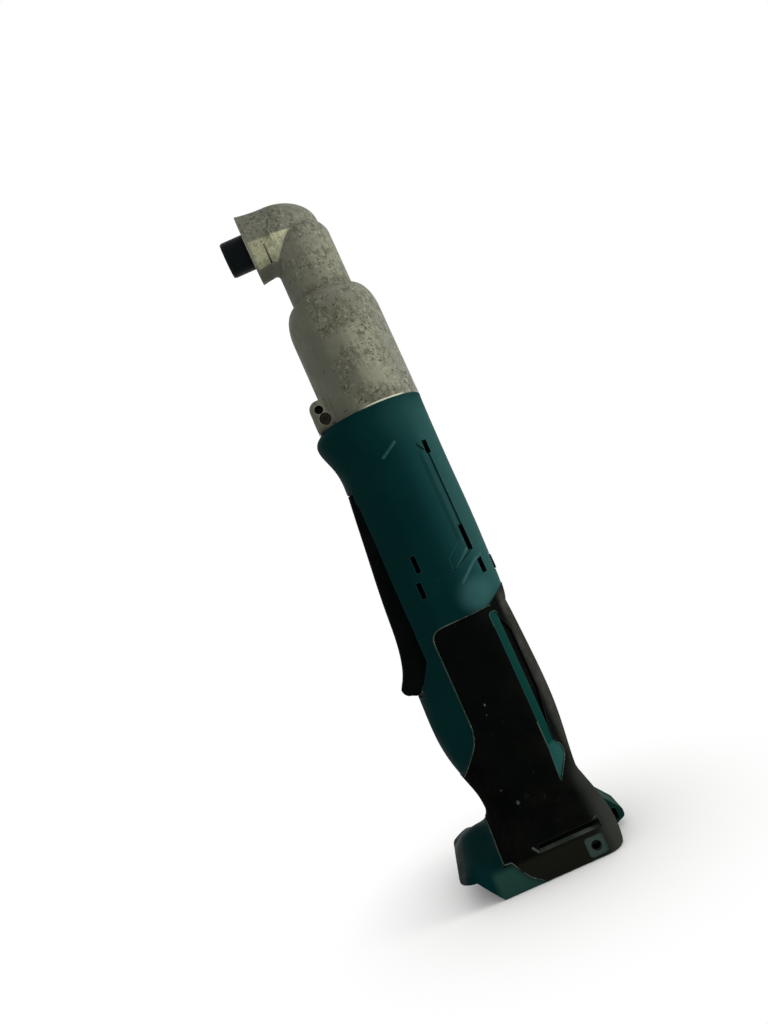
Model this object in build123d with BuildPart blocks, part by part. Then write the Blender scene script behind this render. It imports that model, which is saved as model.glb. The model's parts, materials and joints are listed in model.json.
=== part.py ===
from build123d import *
import os
from collections import namedtuple
from math import acos, atan, cos, hypot, pi, radians, sin, tan

# Angle impact driver standing on its battery foot, in millimetres.
# The motor axis is the Z axis and the sole lies at Z 0. The bit points to -X,
# the left flank faces -Y, and the two housing halves meet on the XZ plane.

# Fits
seat_gap = 0.02
running_gap = 0.1
slide_gap = 0.3

# Levels along the motor axis
output_z = 312.5
joint_z = 213.7

# Cast hammer case with the angle head in one piece
case_r = 22.6
case_wall = 4.2
case_bevel = 0.7
shoulder_z = 260.6
shoulder_height = 14.2
neck_r = 15.3
neck_flare = 0.8
neck_crown_drop = 8.5
neck_crown_height = 12.0
head_face = 24.0
head_rim_r = 16.9
head_r = 15.6
head_blend = 3.0
dome_start = 10.0
dome_length = 22.5
cheek_depth = 1.0
cheek_tilt = radians(18)
cheek_back = 11.5
slit_x = -16.4
slit_width = 0.9
slit_depth = 0.7
slit_drop = 9.6
slit_length = 8.0
spigot_length = 8.3
spigot_wall = 1.6
spigot_groove = 1.0
spigot_groove_width = 2.0
chamber_roof = 9.9
ear_reach = 28.3
ear_height = 15.3
ear_half = 13.5
ear_round = 4.5
ear_foot_round = 1.5
ear_corner = 3.5
ear_hole_r = 2.1
ear_hole_x = -23.8
ear_hole_rise = 10.1
ear_hole_depth = 6.0
ear_screw_x = -22.6
ear_screw_rise = 5.1
ear_screw_head_r = 2.8
ear_screw_head = 1.8
ear_screw_sink = 0.8
ear_screw_r = 1.5
ear_screw_length = 7.0

# Housing in two plastic halves: stations are sections of its outer skin
Station = namedtuple("Station", "z front back half corner")
sole = Station(z=0.0, front=-47.8, back=20.0, half=30.0, corner=8.0)
foot_belly = Station(z=8.0, front=-49.8, back=21.0, half=31.0, corner=9.0)
foot_rim = Station(z=16.0, front=-48.4, back=20.4, half=29.8, corner=9.5)
foot_flare = Station(z=23.0, front=-37.5, back=18.6, half=23.3, corner=12.0)
waist = Station(z=30.0, front=-27.8, back=16.9, half=17.2, corner=15.5)
grip_low = Station(z=46.0, front=-31.9, back=18.7, half=18.2, corner=16.5)
grip_belly = Station(z=62.0, front=-35.4, back=20.1, half=19.4, corner=17.2)
grip_palm = Station(z=78.0, front=-35.7, back=20.2, half=19.8, corner=17.6)
grip_high = Station(z=94.0, front=-35.4, back=19.7, half=20.0, corner=17.8)
grip_top = Station(z=110.0, front=-34.0, back=18.9, half=20.6, corner=18.2)
motor_heel = Station(z=124.0, front=-31.5, back=20.9, half=22.2, corner=20.0)
motor_low = Station(z=145.0, front=-30.0, back=21.6, half=22.8, corner=21.0)
motor_mid = Station(z=170.0, front=-28.6, back=21.8, half=22.9, corner=21.3)
motor_high = Station(z=188.0, front=-28.0, back=21.9, half=22.9, corner=21.5)
nose_low = Station(z=200.0, front=-30.0, back=22.1, half=22.8, corner=21.5)
nose_belly = Station(z=209.0, front=-32.3, back=22.3, half=22.7, corner=21.5)
nose_top = Station(z=joint_z, front=-28.0, back=case_r, half=case_r, corner=21.5)
foot_span = (sole, foot_belly, foot_rim, foot_flare, waist)
grip_span = (waist, grip_low, grip_belly, grip_palm, grip_high, grip_top)
motor_span = (motor_heel, motor_low, motor_mid, motor_high)
barrel_span = (grip_top, *motor_span, nose_low, nose_belly, nose_top)
housing_lap = 2.0
motor_wall = 3.0
motor_rib = 3.5
motor_floor = 3.0
bell_hole_r = 6.0

# Soft grip moulded over the housing
grip_depth = 1.3
grip_proud = 0.3
grip_edge_x = -19.3
grip_edge_z = 111.6
grip_corner = 6.0
grip_rise_x = 9.0
grip_rise = 6.4
grip_front_x = -31.5
grip_front_z = 46.5
grip_front_turn_z = 62.0
toe_edge_x = -30.0
toe_edge_high = 27.0
toe_edge_low = 12.6
toe_step_x = -26.6
toe_slope_x = -21.6
toe_slope_z = 4.2
toe_end_x = -16.7
grip_hem = 0.4
stripe_x = 10.0
stripe_half = 1.7
stripe_low = 46.0
stripe_high = 107.0
leaf_tip_x = 7.2
leaf_tip_z = 30.5
leaf_wide_x = 14.0
leaf_wide_z = 43.0
gutter_depth = 0.8
gutter_edge_x = 15.0
gutter_high = 107.0
gutter_shoulder = 98.0
gutter_hip = 70.0
gutter_low = 52.0

# Flank panel step and air slots
panel_depth = 0.8
panel_inner_x = 9.7
panel_outer_x = 14.0
panel_high = 191.0
panel_low = 143.0
panel_toe_x = 2.2
panel_toe_drop = 5.5
panel_width = 6.5
slot_width = 2.2
slot_root = 7.5
AirSlot = namedtuple("AirSlot", "x z length")
air_slots = (
    AirSlot(x=13.8, z=187.6, length=6.4),
    AirSlot(x=13.0, z=143.5, length=12.0),
    AirSlot(x=14.7, z=129.5, length=7.4),
    AirSlot(x=-12.3, z=141.0, length=8.0),
    AirSlot(x=-14.6, z=129.5, length=7.4),
)

# Switch lever, its pivot and the room behind it
lever_half = 12.0
lever_wall = 2.2
lever_round = 4.5
lever_top_z = 182.0
lever_face = ((-27.9, lever_top_z), (-30.6, 156.0), (-33.4, 127.0), (-36.0, 104.0))
lever_tip_x = -41.8
lever_tip_z = 90.0
lever_nose_r = 4.0
lever_chin_x = -37.5
lever_chin_z = 86.2
lever_chin_drop = 1.8
lever_heel_x = -29.0
lever_heel_z = 91.0
lever_rear_x = -20.5
lever_neck_x = -21.8
lever_back_low = 108.0
lever_back_high = 170.0
lever_edge_x = -25.0
lever_pivot_x = -22.0
lever_pivot_z = 175.0
lever_boss_r = 3.5
lever_pin_r = 1.5
lever_pin_end = 15.0
lever_press_z = 113.0
lever_swing_room = 2.0
front_cut_x = -30.5
front_cut_z = 91.0
front_cut_top = 100.0
front_cut_round = 3.0

# Switch
switch_front = -14.0
switch_back = 11.0
switch_low = 97.0
switch_high = 133.0
switch_half = 9.2
switch_round = 1.5
switch_rib = 2.0
switch_block_front = -17.5
switch_block_low = 121.0
plunger_half = 4.5
plunger_reach = 7.4
plunger_height = 9.0
plunger_stem_r = 2.6
plunger_stem = 8.0
plunger_travel = 5.2
room_back = 13.0

# Reversing lever in the back wall
reverse_z = 128.5
reverse_height = 7.0
reverse_half = 4.5
reverse_travel = 3.0
reverse_proud = 0.5
reverse_plate = 1.6
reverse_plate_half = 8.5

# Foot, battery bay and strap lug
bay_half = 24.0
bay_top = 10.8
bay_back = 13.0
toe_cut_x = -42.6
toe_cut_foot_x = -34.7
rail_depth = 3.5
rail_low = 1.4
rail_height = 3.0
rail_front = -31.0
rail_back = 6.0
passage_half = 11.0
passage_front = -12.0
passage_back = 8.0
lug_half = 9.0
lug_round = 2.0
lug_top_x = 18.9
lug_reach = 27.3
lug_low = 0.6
lug_high = 17.5
lug_peak_low = 3.6
lug_peak_high = 7.0
lug_hole_x = 23.4
lug_hole_z = 5.8
lug_hole_width = 2.4
lug_hole_height = 5.5
hook_slot_x = 0.2
hook_slot_low = 11.6
hook_slot_high = 15.0
hook_slot_length = 27.4
hook_slot_lip = 0.4
hook_slot_depth = 4.0
hook_slot_wall = 1.2
hook_x = 8.7
hook_z = 5.5
hook_pad = 8.4
hook_pad_round = 1.4
hook_mouth_r = 2.3
hook_nut_r = 3.0
hook_hole_r = 2.0
hook_nut_length = 5.8
hook_nut_end = 0.8
hook_face = 29.2

# Battery terminals
terminal_front = -9.0
terminal_half = 15.0
terminal_low = 2.6
terminal_step = 5.0
blade_thick = 0.8
blade_length = 11.0
blade_rows = (-11.0, -4.0, 4.0, 11.0)

# Housing screws from the right flank: place, and how far out their heads seat
Screw = namedtuple("Screw", "x z seat")
screws = (
    Screw(x=-24.8, z=199.0, seat=11.5),
    Screw(x=17.4, z=119.5, seat=10.0),
    Screw(x=-30.0, z=77.0, seat=11.0),
    Screw(x=15.3, z=60.0, seat=9.0),
    Screw(x=-39.5, z=15.6, seat=22.0),
    Screw(x=15.6, z=16.6, seat=22.0),
)
screw_r = 1.9
screw_head_r = 3.4
screw_head = 2.2
screw_drive_r = 1.5
screw_bite = 8.0

# Gears
pressure_angle = radians(20)
flank_steps = 2
gear_module = 0.6
gear_backlash = 0.03
sun_teeth = 12
planet_teeth = 19
planet_tip = 0.85
ring_tip = 0.8
root_depth = 1.25
gear_width = 9.4
bevel_module = 1.2
bevel_backlash = 0.08
bevel_tip = 0.8
pinion_teeth = 12
output_teeth = 17
bevel_share = 0.4

# Anvil in the neck
anvil_shaft_r = 6.0
anvil_bush_r = 11.0
anvil_bush_length = 22.0
anvil_flange = 7.5
anvil_wing_half = 4.5
anvil_wing_gap = 2.0
anvil_stub_r = 2.8
pinion_hub = 2.8
pinion_hub_r = 5.5
thrust_washer = 1.0
pilot_r = 4.0
pilot_depth = 6.0

# Hammer, cam spindle and main spring
hammer_gap = 0.5
hammer_length = 21.5
hammer_jaw = 6.5
hammer_jaw_half = 7.8
hammer_hub_r = 10.2
spindle_r = 8.0
spring_pocket = 12.0
spring_mean_r = 13.0
spring_wire = 2.6
spring_turns = 4.0
coil_sides = 12
cam_ball_r = 2.2
cam_ball_drop = 15.0
hammer_travel = 8.0
spring_washer = 1.2

# Planet carrier, bearing and gear plate below the joint
carrier_top = 4.0
carrier_top_r = 16.0
carrier_plate = 3.2
carrier_plate_r = 13.4
carrier_hub_r = 9.0
carrier_web_half = 4.2
carrier_web_y = 6.2
planet_pin_r = 2.0
bearing_r = 14.0
bearing_width = 5.0
plate_floor = 3.0
plate_flange = 5.3

# Motor
can_r = 17.6
can_length = 50.0
can_wall = 1.5
can_boss_r = 6.5
can_boss = 2.2
bell_length = 13.0
shaft_r = 1.6
shaft_tail = 4.0
magnet_gap = 0.4
magnet_length = 34.0
magnet_half = 62.0
core_r = 13.2
core_length = 28.0
core_slots = 5
core_slot_width = 2.4
core_slot_depth = 6.0
winding_r = 11.6
winding_height = 4.0
commutator_r = 5.5
commutator_length = 8.0
brush_width = 4.0
brush_height = 5.0
brush_length = 8.0
fan_r = 12.5
fan_height = 4.0
fan_blades = 8
fan_hub_r = 4.0
motor_bush_r = 4.0
motor_bush_length = 4.0

# Output spindle, bit holder and lamp
spindle_tip = 35.2
bit_hex = 6.4
bit_hex_depth = 20.0
output_r = 5.9
front_bearing_length = 8.0
front_bearing_r = 11.0
ring_length = 1.6
ring_r = 13.4
collar_r = 8.0
collar_length = 2.4
gear_seat_r = 4.6
gear_hub_r = 6.8
rear_journal_r = 3.6
rear_bush_r = 6.0
rear_bush_length = 7.0
rear_end = 9.4
sleeve_tip = 35.7
sleeve_r = 8.6
sleeve_wall = 0.9
sleeve_chamfer = 1.0
sleeve_rib = 2.4
sleeve_rib_back = 26.2
sleeve_spring_wire = 0.8
sleeve_spring_turns = 2.5
snap_ring = 0.6
snap_ring_depth = 0.6
snap_ring_back = 34.3
washer_length = 0.6
bit_ball_r = 1.5
bit_ball_out = 4.35
lens_half = 5.0
lens_back = 24.6
lens_front = 28.6
lens_height = 12.9
lens_slope = 5.0
lens_foot = 4.3
lamp_board = 1.4

# Worked out from the values above
flank_reach = 2 * foot_belly.half
chamber_r = case_r - case_wall
spigot_r = case_r - housing_lap
spigot_z = joint_z - spigot_length
gear_bore_r = spigot_r - spigot_wall
neck_z = shoulder_z + shoulder_height
neck_crown_z = output_z - neck_crown_drop
chamber_top = shoulder_z + chamber_roof
output_axis = Axis((0, 0, output_z), (1, 0, 0))
sun_r = gear_module * sun_teeth / 2
planet_r = gear_module * planet_teeth / 2
ring_teeth = sun_teeth + 2 * planet_teeth
ring_pitch_r = gear_module * ring_teeth / 2
planet_orbit = sun_r + planet_r
pinion_r = bevel_module * pinion_teeth / 2
output_gear_r = bevel_module * output_teeth / 2
pinion_z = output_z - output_gear_r
anvil_top = chamber_top - thrust_washer - seat_gap
anvil_low = anvil_top - anvil_flange
anvil_wing_r = chamber_r - anvil_wing_gap
hammer_r = chamber_r - hammer_gap
hammer_top = anvil_low - hammer_gap
hammer_low = hammer_top - hammer_length
plate_top = spigot_z + plate_flange + slide_gap
plate_low = spigot_z - plate_flange
bearing_low = plate_low + plate_floor
carrier_low = bearing_low + bearing_width + slide_gap
carrier_floor = carrier_low + carrier_plate
gear_low = carrier_floor + slide_gap
gear_high = gear_low + gear_width
carrier_roof = gear_high + slide_gap
spindle_low = carrier_roof + carrier_top
can_high = plate_low - seat_gap
can_low = can_high - can_length
bell_low = can_low - bell_length
motor_room_r = motor_mid.back - motor_wall
room_top = bell_low - motor_floor
front_bearing_x = -head_face + ring_length
sleeve_length = sleeve_tip - head_face + ring_length / 2
collar_x = front_bearing_x + front_bearing_length
cam_ball_z = hammer_top - cam_ball_drop
plunger_front = switch_front - plunger_reach


def housing_skin(inset):
    """Outer skin of the whole closed housing, drawn in by inset."""
    with BuildPart() as skin:
        for span in (foot_span, grip_span, barrel_span):
            for station in span:
                with BuildSketch(Plane.XY.offset(station.z)):
                    with Locations(((station.front + station.back) / 2, 0)):
                        RectangleRounded(
                            station.back - station.front - 2 * inset,
                            2 * (station.half - inset),
                            station.corner - inset,
                        )
            loft()
    return skin.part


def ring_on_z(inner_r, outer_r, low, high):
    """Plain ring about the motor axis."""
    with BuildPart() as ring:
        with BuildSketch(Plane.XY.offset(low)):
            Circle(outer_r)
            Circle(inner_r, mode=Mode.SUBTRACT)
        extrude(amount=high - low)
    return ring


def ring_on_x(inner_r, outer_r, back, front):
    """Plain ring about the output axis, from x back to x front."""
    with BuildPart() as ring:
        with BuildSketch(Plane((back, 0, output_z), x_dir=(0, 1, 0), z_dir=(1, 0, 0))):
            Circle(outer_r)
            Circle(inner_r, mode=Mode.SUBTRACT)
        extrude(amount=front - back)
    return ring


def coil(axis_plane, mean_r, wire, length, turns):
    """Compression spring of square wire about the plane's normal, faceted round its turns."""
    steps = round(turns * coil_sides)
    climb = (length - wire) / steps
    with BuildPart() as spring:
        for step in range(steps + 1):
            angle = 2 * pi * step / coil_sides
            outward = axis_plane.x_dir * cos(angle) + axis_plane.y_dir * sin(angle)
            along = axis_plane.y_dir * cos(angle) - axis_plane.x_dir * sin(angle)
            centre = axis_plane.origin + outward * mean_r
            centre += axis_plane.z_dir * (wire / 2 + climb * step)
            with BuildSketch(Plane(centre, x_dir=outward, z_dir=along)):
                Rectangle(wire, wire)
        loft(ruled=True)
    return spring


def tooth_flank(pitch_r, teeth, addendum, dedendum, thinning):
    """Points up one involute flank: height over the pitch circle and half angle of the tooth."""
    base_r = pitch_r * cos(pressure_angle)
    base_half = pi / (2 * teeth) - thinning / pitch_r + tan(pressure_angle) - pressure_angle
    start_r = max(base_r, pitch_r - dedendum)
    tip_r = pitch_r + addendum
    flank = []
    if pitch_r - dedendum < base_r:
        flank.append((-dedendum, base_half))
    for step in range(flank_steps + 1):
        radius = start_r + (tip_r - start_r) * step / flank_steps
        roll = acos(base_r / radius)
        flank.append((radius - pitch_r, base_half - tan(roll) + roll))
    return flank


def tooth_outline(teeth, flank, radius_at, turn):
    """Closed outline of all the teeth, with the middle of one tooth at the angle turn."""
    points = []
    for tooth in range(teeth):
        middle = turn + 2 * pi * tooth / teeth
        for side, rows in ((-1, flank), (1, flank[::-1])):
            for height, half in rows:
                angle = middle + side * half
                points.append((radius_at(height) * cos(angle), radius_at(height) * sin(angle)))
    return points


def spur_gear(teeth, addendum, bore_r, centre_x, turn):
    """Spur gear of the planet stage, its axis at x centre_x."""
    pitch_r = gear_module * teeth / 2
    flank = tooth_flank(pitch_r, teeth, addendum, root_depth * gear_module, gear_backlash)
    with BuildPart() as gear:
        with BuildSketch(Plane.XY.offset(gear_low)):
            with Locations((centre_x, 0)):
                Polygon(*tooth_outline(teeth, flank, lambda h: pitch_r + h, turn), align=None)
                Circle(bore_r, mode=Mode.SUBTRACT)
        extrude(amount=gear_width)
    return gear


def bevel_outlines(teeth, mate_teeth, turn):
    """Outlines of a bevel gear at its large and small ends, with their distance from the apex."""
    pitch_r = bevel_module * teeth / 2
    mate_r = bevel_module * mate_teeth / 2
    cone = atan(pitch_r / mate_r)
    cone_length = hypot(pitch_r, mate_r)
    flat_r = pitch_r / cos(cone)
    flat_flank = tooth_flank(
        flat_r, teeth / cos(cone), bevel_tip * bevel_module, root_depth * bevel_module, bevel_backlash
    )
    flank = [(height, half / cos(cone)) for height, half in flat_flank]
    ends = []
    large_end = mate_r - bevel_module * bevel_tip * sin(cone)
    for distance in (large_end, mate_r * (1 - bevel_share)):
        def radius_at(height):
            return distance * tan(cone + atan(height / cone_length))
        ends.append((distance, tooth_outline(teeth, flank, radius_at, turn)))
    return ends


# Ear on the front of the hammer case, with a notch for the lamp
with BuildPart() as ear:
    with BuildSketch(Plane.XZ):
        with BuildLine():
            FilletPolyline(
                (-chamber_r, joint_z),
                (-ear_reach, joint_z),
                (-ear_reach, joint_z + ear_height),
                (-chamber_r, joint_z + ear_height),
                radius=(ear_foot_round, ear_round),
            )
            Line((-chamber_r, joint_z + ear_height), (-chamber_r, joint_z))
        make_face()
    extrude(amount=ear_half, both=True)
    front_corners = ear.edges().filter_by(Axis.Z).group_by(Axis.X)[0]
    fillet(front_corners, ear_corner)
    with BuildSketch(Plane.XY.offset(joint_z)):
        with Locations((-lens_back - ear_reach, 0)):
            Rectangle(2 * ear_reach, 2 * (lens_half + slide_gap))
    extrude(amount=ear_height, mode=Mode.SUBTRACT)

# Hammer case: spigot, barrel, shoulder, neck and angle head in one casting
with BuildPart() as hammer_case:
    with BuildSketch(Plane.XZ):
        with BuildLine():
            Polyline(
                (0, spigot_z),
                (spigot_r, spigot_z),
                (spigot_r, joint_z),
                (case_r - case_bevel, joint_z),
                (case_r, joint_z + case_bevel),
                (case_r, shoulder_z),
            )
            EllipticalCenterArc(
                (neck_r + neck_flare, shoulder_z),
                case_r - neck_r - neck_flare,
                shoulder_height,
                start_angle=0,
                arc_size=90,
            )
            Polyline(
                (neck_r + neck_flare, neck_z),
                (neck_r, neck_z + neck_flare),
                (neck_r, neck_crown_z),
            )
            EllipticalCenterArc(
                (0, neck_crown_z), neck_r, neck_crown_height, start_angle=0, arc_size=90
            )
            Line((0, neck_crown_z + neck_crown_height), (0, spigot_z))
        make_face()
    revolve(axis=Axis.Z)
    with BuildSketch(Plane.XZ):
        with BuildLine():
            EllipticalCenterArc(
                (-dome_start, output_z), dome_length, head_r, start_angle=0, arc_size=90
            )
            TangentArc(
                (-dome_start, output_z + head_r), (-head_face, output_z + head_rim_r), tangent=(-1, 0)
            )
            Polyline(
                (-head_face, output_z + head_rim_r),
                (-head_face, output_z),
                (dome_length - dome_start, output_z),
            )
        make_face()
    revolve(axis=output_axis)
    fillet(hammer_case.edges(Select.NEW), head_blend)
    for side in (-1, 1):
        cheek_out = Vector(0, side * cos(cheek_tilt), -sin(cheek_tilt))
        cheek_middle = Vector(-(head_face + cheek_back) / 2, 0, output_z)
        cheek_plane = Plane(cheek_middle + cheek_out * (head_r - cheek_depth), (1, 0, 0), cheek_out)
        with BuildSketch(cheek_plane):
            Rectangle(head_face - cheek_back, 2 * head_r)
        extrude(amount=head_rim_r, mode=Mode.SUBTRACT)
    add(ear.part)
    with BuildSketch(Plane.XZ):
        with BuildLine():
            Polyline(
                (0, spigot_z),
                (gear_bore_r, spigot_z),
                (gear_bore_r, gear_high + seat_gap),
                (chamber_r, gear_high + seat_gap),
                (chamber_r, chamber_top),
                (anvil_bush_r + seat_gap, chamber_top),
                (anvil_bush_r + seat_gap, output_z),
                (0, output_z),
                close=True,
            )
        make_face()
    revolve(axis=Axis.Z, mode=Mode.SUBTRACT)
    with BuildSketch(Plane.XZ):
        with BuildLine():
            Polyline(
                (-head_face, output_z),
                (-head_face, output_z + ring_r + seat_gap),
                (front_bearing_x, output_z + ring_r + seat_gap),
                (front_bearing_x, output_z + front_bearing_r + seat_gap),
                (rear_end - rear_bush_length, output_z + front_bearing_r + seat_gap),
                (rear_end - rear_bush_length, output_z + rear_bush_r + seat_gap),
                (rear_end, output_z + rear_bush_r + seat_gap),
                (rear_end, output_z),
                close=True,
            )
        make_face()
    revolve(axis=output_axis, mode=Mode.SUBTRACT)
    with BuildSketch(Plane.XY.offset(joint_z - spigot_length / 2)):
        Circle(spigot_r)
        Circle(spigot_r - spigot_groove, mode=Mode.SUBTRACT)
    extrude(amount=spigot_groove_width, mode=Mode.SUBTRACT)
    with BuildSketch(Plane((slit_x, 0, output_z), x_dir=(0, 1, 0), z_dir=(1, 0, 0))):
        Circle(head_rim_r)
        with Locations((0, -slit_drop)):
            Rectangle(2 * head_rim_r, slit_length, mode=Mode.INTERSECT)
        Circle(head_r - cheek_depth - slit_depth, mode=Mode.SUBTRACT)
    extrude(amount=slit_width, mode=Mode.SUBTRACT)
    for side in (-1, 1):
        with BuildSketch(Plane.XZ.offset(side * ear_half)):
            with Locations((ear_hole_x, joint_z + ear_hole_rise)):
                Circle(ear_hole_r)
        extrude(amount=-side * ear_hole_depth, mode=Mode.SUBTRACT)
        with BuildSketch(Plane.XZ.offset(side * ear_half)):
            with Locations((ear_screw_x, joint_z + ear_screw_rise)):
                Circle(ear_screw_head_r + running_gap)
        extrude(amount=-side * (ear_screw_head + ear_screw_sink), mode=Mode.SUBTRACT)
        with BuildSketch(Plane.XZ.offset(side * ear_half)):
            with Locations((ear_screw_x, joint_z + ear_screw_rise)):
                Circle(ear_screw_r + seat_gap)
        extrude(amount=-side * ear_screw_length, mode=Mode.SUBTRACT)

with BuildPart() as ear_screws:
    for side in (-1, 1):
        with BuildSketch(Plane.XZ.offset(side * (ear_half - ear_screw_sink))):
            with Locations((ear_screw_x, joint_z + ear_screw_rise)):
                Circle(ear_screw_head_r)
                RegularPolygon(ear_screw_r, 6, mode=Mode.SUBTRACT)
        extrude(amount=-side * ear_screw_head / 2)
        with BuildSketch(Plane.XZ.offset(side * (ear_half - ear_screw_sink - ear_screw_head / 2))):
            with Locations((ear_screw_x, joint_z + ear_screw_rise)):
                Circle(ear_screw_head_r)
        extrude(amount=-side * ear_screw_head / 2)
        with BuildSketch(Plane.XZ.offset(side * (ear_half - ear_screw_sink - ear_screw_head))):
            with Locations((ear_screw_x, joint_z + ear_screw_rise)):
                Circle(ear_screw_r)
        extrude(amount=-side * (ear_screw_length - ear_screw_sink - ear_screw_head))

# Bit holder: spindle with its hex socket, sleeve, spring, washer, snap ring and balls
with BuildPart() as output_spindle:
    with BuildSketch(Plane.XZ):
        with BuildLine():
            Polyline(
                (-spindle_tip, output_z),
                (-spindle_tip, output_z + output_r),
                (-snap_ring_back - snap_ring, output_z + output_r),
                (-snap_ring_back - snap_ring, output_z + output_r - snap_ring_depth),
                (-snap_ring_back, output_z + output_r - snap_ring_depth),
                (-snap_ring_back, output_z + output_r),
                (collar_x, output_z + output_r),
                (collar_x, output_z + collar_r),
                (collar_x + collar_length, output_z + collar_r),
                (collar_x + collar_length, output_z + gear_seat_r),
                (rear_end - rear_bush_length, output_z + gear_seat_r),
                (rear_end - rear_bush_length, output_z + rear_journal_r),
                (rear_end - seat_gap, output_z + rear_journal_r),
                (rear_end - seat_gap, output_z),
                close=True,
            )
        make_face()
    revolve(axis=output_axis)
    with BuildSketch(Plane((-spindle_tip, 0, output_z), x_dir=(0, 1, 0), z_dir=(1, 0, 0))):
        RegularPolygon(bit_hex / 2, 6, major_radius=False, rotation=30)
    extrude(amount=bit_hex_depth, mode=Mode.SUBTRACT)
    with BuildSketch(Plane.XZ):
        with Locations((sleeve_rib / 2 - sleeve_rib_back - sleeve_rib, output_z)):
            Circle(bit_ball_r + running_gap)
    extrude(amount=output_r, both=True, mode=Mode.SUBTRACT)

with BuildPart() as bit_sleeve:
    with BuildSketch(Plane.XZ):
        with BuildLine():
            Polyline(
                (-sleeve_tip, output_z + sleeve_r - sleeve_wall),
                (-sleeve_tip, output_z + sleeve_r - sleeve_chamfer / 2),
                (sleeve_chamfer - sleeve_tip, output_z + sleeve_r),
                (sleeve_length - sleeve_tip - sleeve_chamfer / 2, output_z + sleeve_r),
                (sleeve_length - sleeve_tip, output_z + sleeve_r - sleeve_chamfer / 2),
                (sleeve_length - sleeve_tip, output_z + sleeve_r - sleeve_wall),
                (-sleeve_rib_back, output_z + sleeve_r - sleeve_wall),
                (-sleeve_rib_back, output_z + output_r + running_gap),
                (-sleeve_rib_back - sleeve_rib, output_z + output_r + running_gap),
                (-sleeve_rib_back - sleeve_rib, output_z + sleeve_r - sleeve_wall),
                close=True,
            )
        make_face()
    revolve(axis=output_axis)

sleeve_spring_back = -sleeve_rib_back - sleeve_rib - running_gap
sleeve_spring_front = -snap_ring_back + washer_length + running_gap
sleeve_spring_plane = Plane((sleeve_spring_front, 0, output_z), x_dir=(0, 1, 0), z_dir=(1, 0, 0))
sleeve_spring_r = (output_r + sleeve_r - sleeve_wall) / 2
sleeve_spring = coil(
    sleeve_spring_plane,
    sleeve_spring_r,
    sleeve_spring_wire,
    sleeve_spring_back - sleeve_spring_front,
    sleeve_spring_turns,
)
sleeve_washer = ring_on_x(
    output_r + seat_gap,
    sleeve_r - sleeve_wall - slide_gap,
    -snap_ring_back,
    washer_length - snap_ring_back,
)
sleeve_snap_ring = ring_on_x(
    output_r - snap_ring_depth,
    output_r + snap_ring_depth,
    -snap_ring_back - snap_ring,
    -snap_ring_back,
)

with BuildPart() as bit_balls:
    ball_x = -sleeve_rib_back - sleeve_rib / 2
    with Locations((ball_x, -bit_ball_out, output_z), (ball_x, bit_ball_out, output_z)):
        Sphere(bit_ball_r)

head_ring = ring_on_x(sleeve_r + slide_gap, ring_r, -head_face, front_bearing_x)
output_bearing = ring_on_x(output_r + seat_gap, front_bearing_r, front_bearing_x, collar_x)
output_bush = ring_on_x(rear_journal_r + seat_gap, rear_bush_r, rear_end - rear_bush_length, rear_end)

# Bevel pair that turns the drive through the right angle
gear_ends = bevel_outlines(output_teeth, pinion_teeth, pi / output_teeth - pi / 2)
with BuildPart() as output_gear:
    for distance, outline in gear_ends:
        with BuildSketch(Plane((-distance, 0, output_z), x_dir=(0, 1, 0), z_dir=(1, 0, 0))):
            Polygon(*outline, align=None)
    loft(ruled=True)
    with BuildSketch(Plane((collar_x + collar_length, 0, output_z), x_dir=(0, 1, 0), z_dir=(1, 0, 0))):
        Circle(gear_hub_r)
    extrude(amount=-gear_ends[0][0] - collar_x - collar_length)
    with BuildSketch(Plane((-pinion_r, 0, output_z), x_dir=(0, 1, 0), z_dir=(1, 0, 0))):
        Circle(gear_seat_r + seat_gap)
    extrude(amount=pinion_r, both=True, mode=Mode.SUBTRACT)

pinion_ends = bevel_outlines(pinion_teeth, output_teeth, pi)
with BuildPart() as anvil_pinion:
    for distance, outline in pinion_ends:
        with BuildSketch(Plane.XY.offset(output_z - distance)):
            Polygon(*outline, align=None)
    loft(ruled=True)
    with BuildSketch(Plane.XY.offset(pinion_z - pinion_hub)):
        Circle(pinion_hub_r)
    extrude(amount=output_gear_r - pinion_ends[0][0] + pinion_hub)
    with BuildSketch(Plane.XY.offset(pinion_z)):
        Circle(anvil_stub_r + seat_gap)
    extrude(amount=output_gear_r, both=True, mode=Mode.SUBTRACT)

# Anvil with its two wings, its bush and thrust washer
pinion_top = output_z - output_gear_r * (1 - bevel_share)
with BuildPart() as anvil:
    with BuildSketch(Plane.XY.offset(anvil_low)):
        Circle(anvil_wing_r)
        with Locations((0, anvil_wing_half + anvil_wing_r), (0, -anvil_wing_half - anvil_wing_r)):
            Rectangle(2 * anvil_wing_r, 2 * anvil_wing_r, mode=Mode.SUBTRACT)
        Circle(hammer_hub_r - hammer_gap)
    extrude(amount=anvil_flange)
    with BuildSketch(Plane.XY.offset(anvil_top)):
        Circle(anvil_shaft_r)
    extrude(amount=pinion_z - pinion_hub - anvil_top)
    with BuildSketch(Plane.XY.offset(pinion_z - pinion_hub)):
        Circle(anvil_stub_r)
    extrude(amount=pinion_top - pinion_z + pinion_hub)
    with BuildSketch(Plane.XY.offset(anvil_low)):
        Circle(pilot_r)
    extrude(amount=pilot_depth, mode=Mode.SUBTRACT)

bush_high = pinion_z - pinion_hub - slide_gap
anvil_bush = ring_on_z(anvil_shaft_r + seat_gap, anvil_bush_r, bush_high - anvil_bush_length, bush_high)
anvil_washer = ring_on_z(anvil_shaft_r + running_gap, anvil_wing_r, anvil_top, chamber_top - seat_gap)

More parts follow.
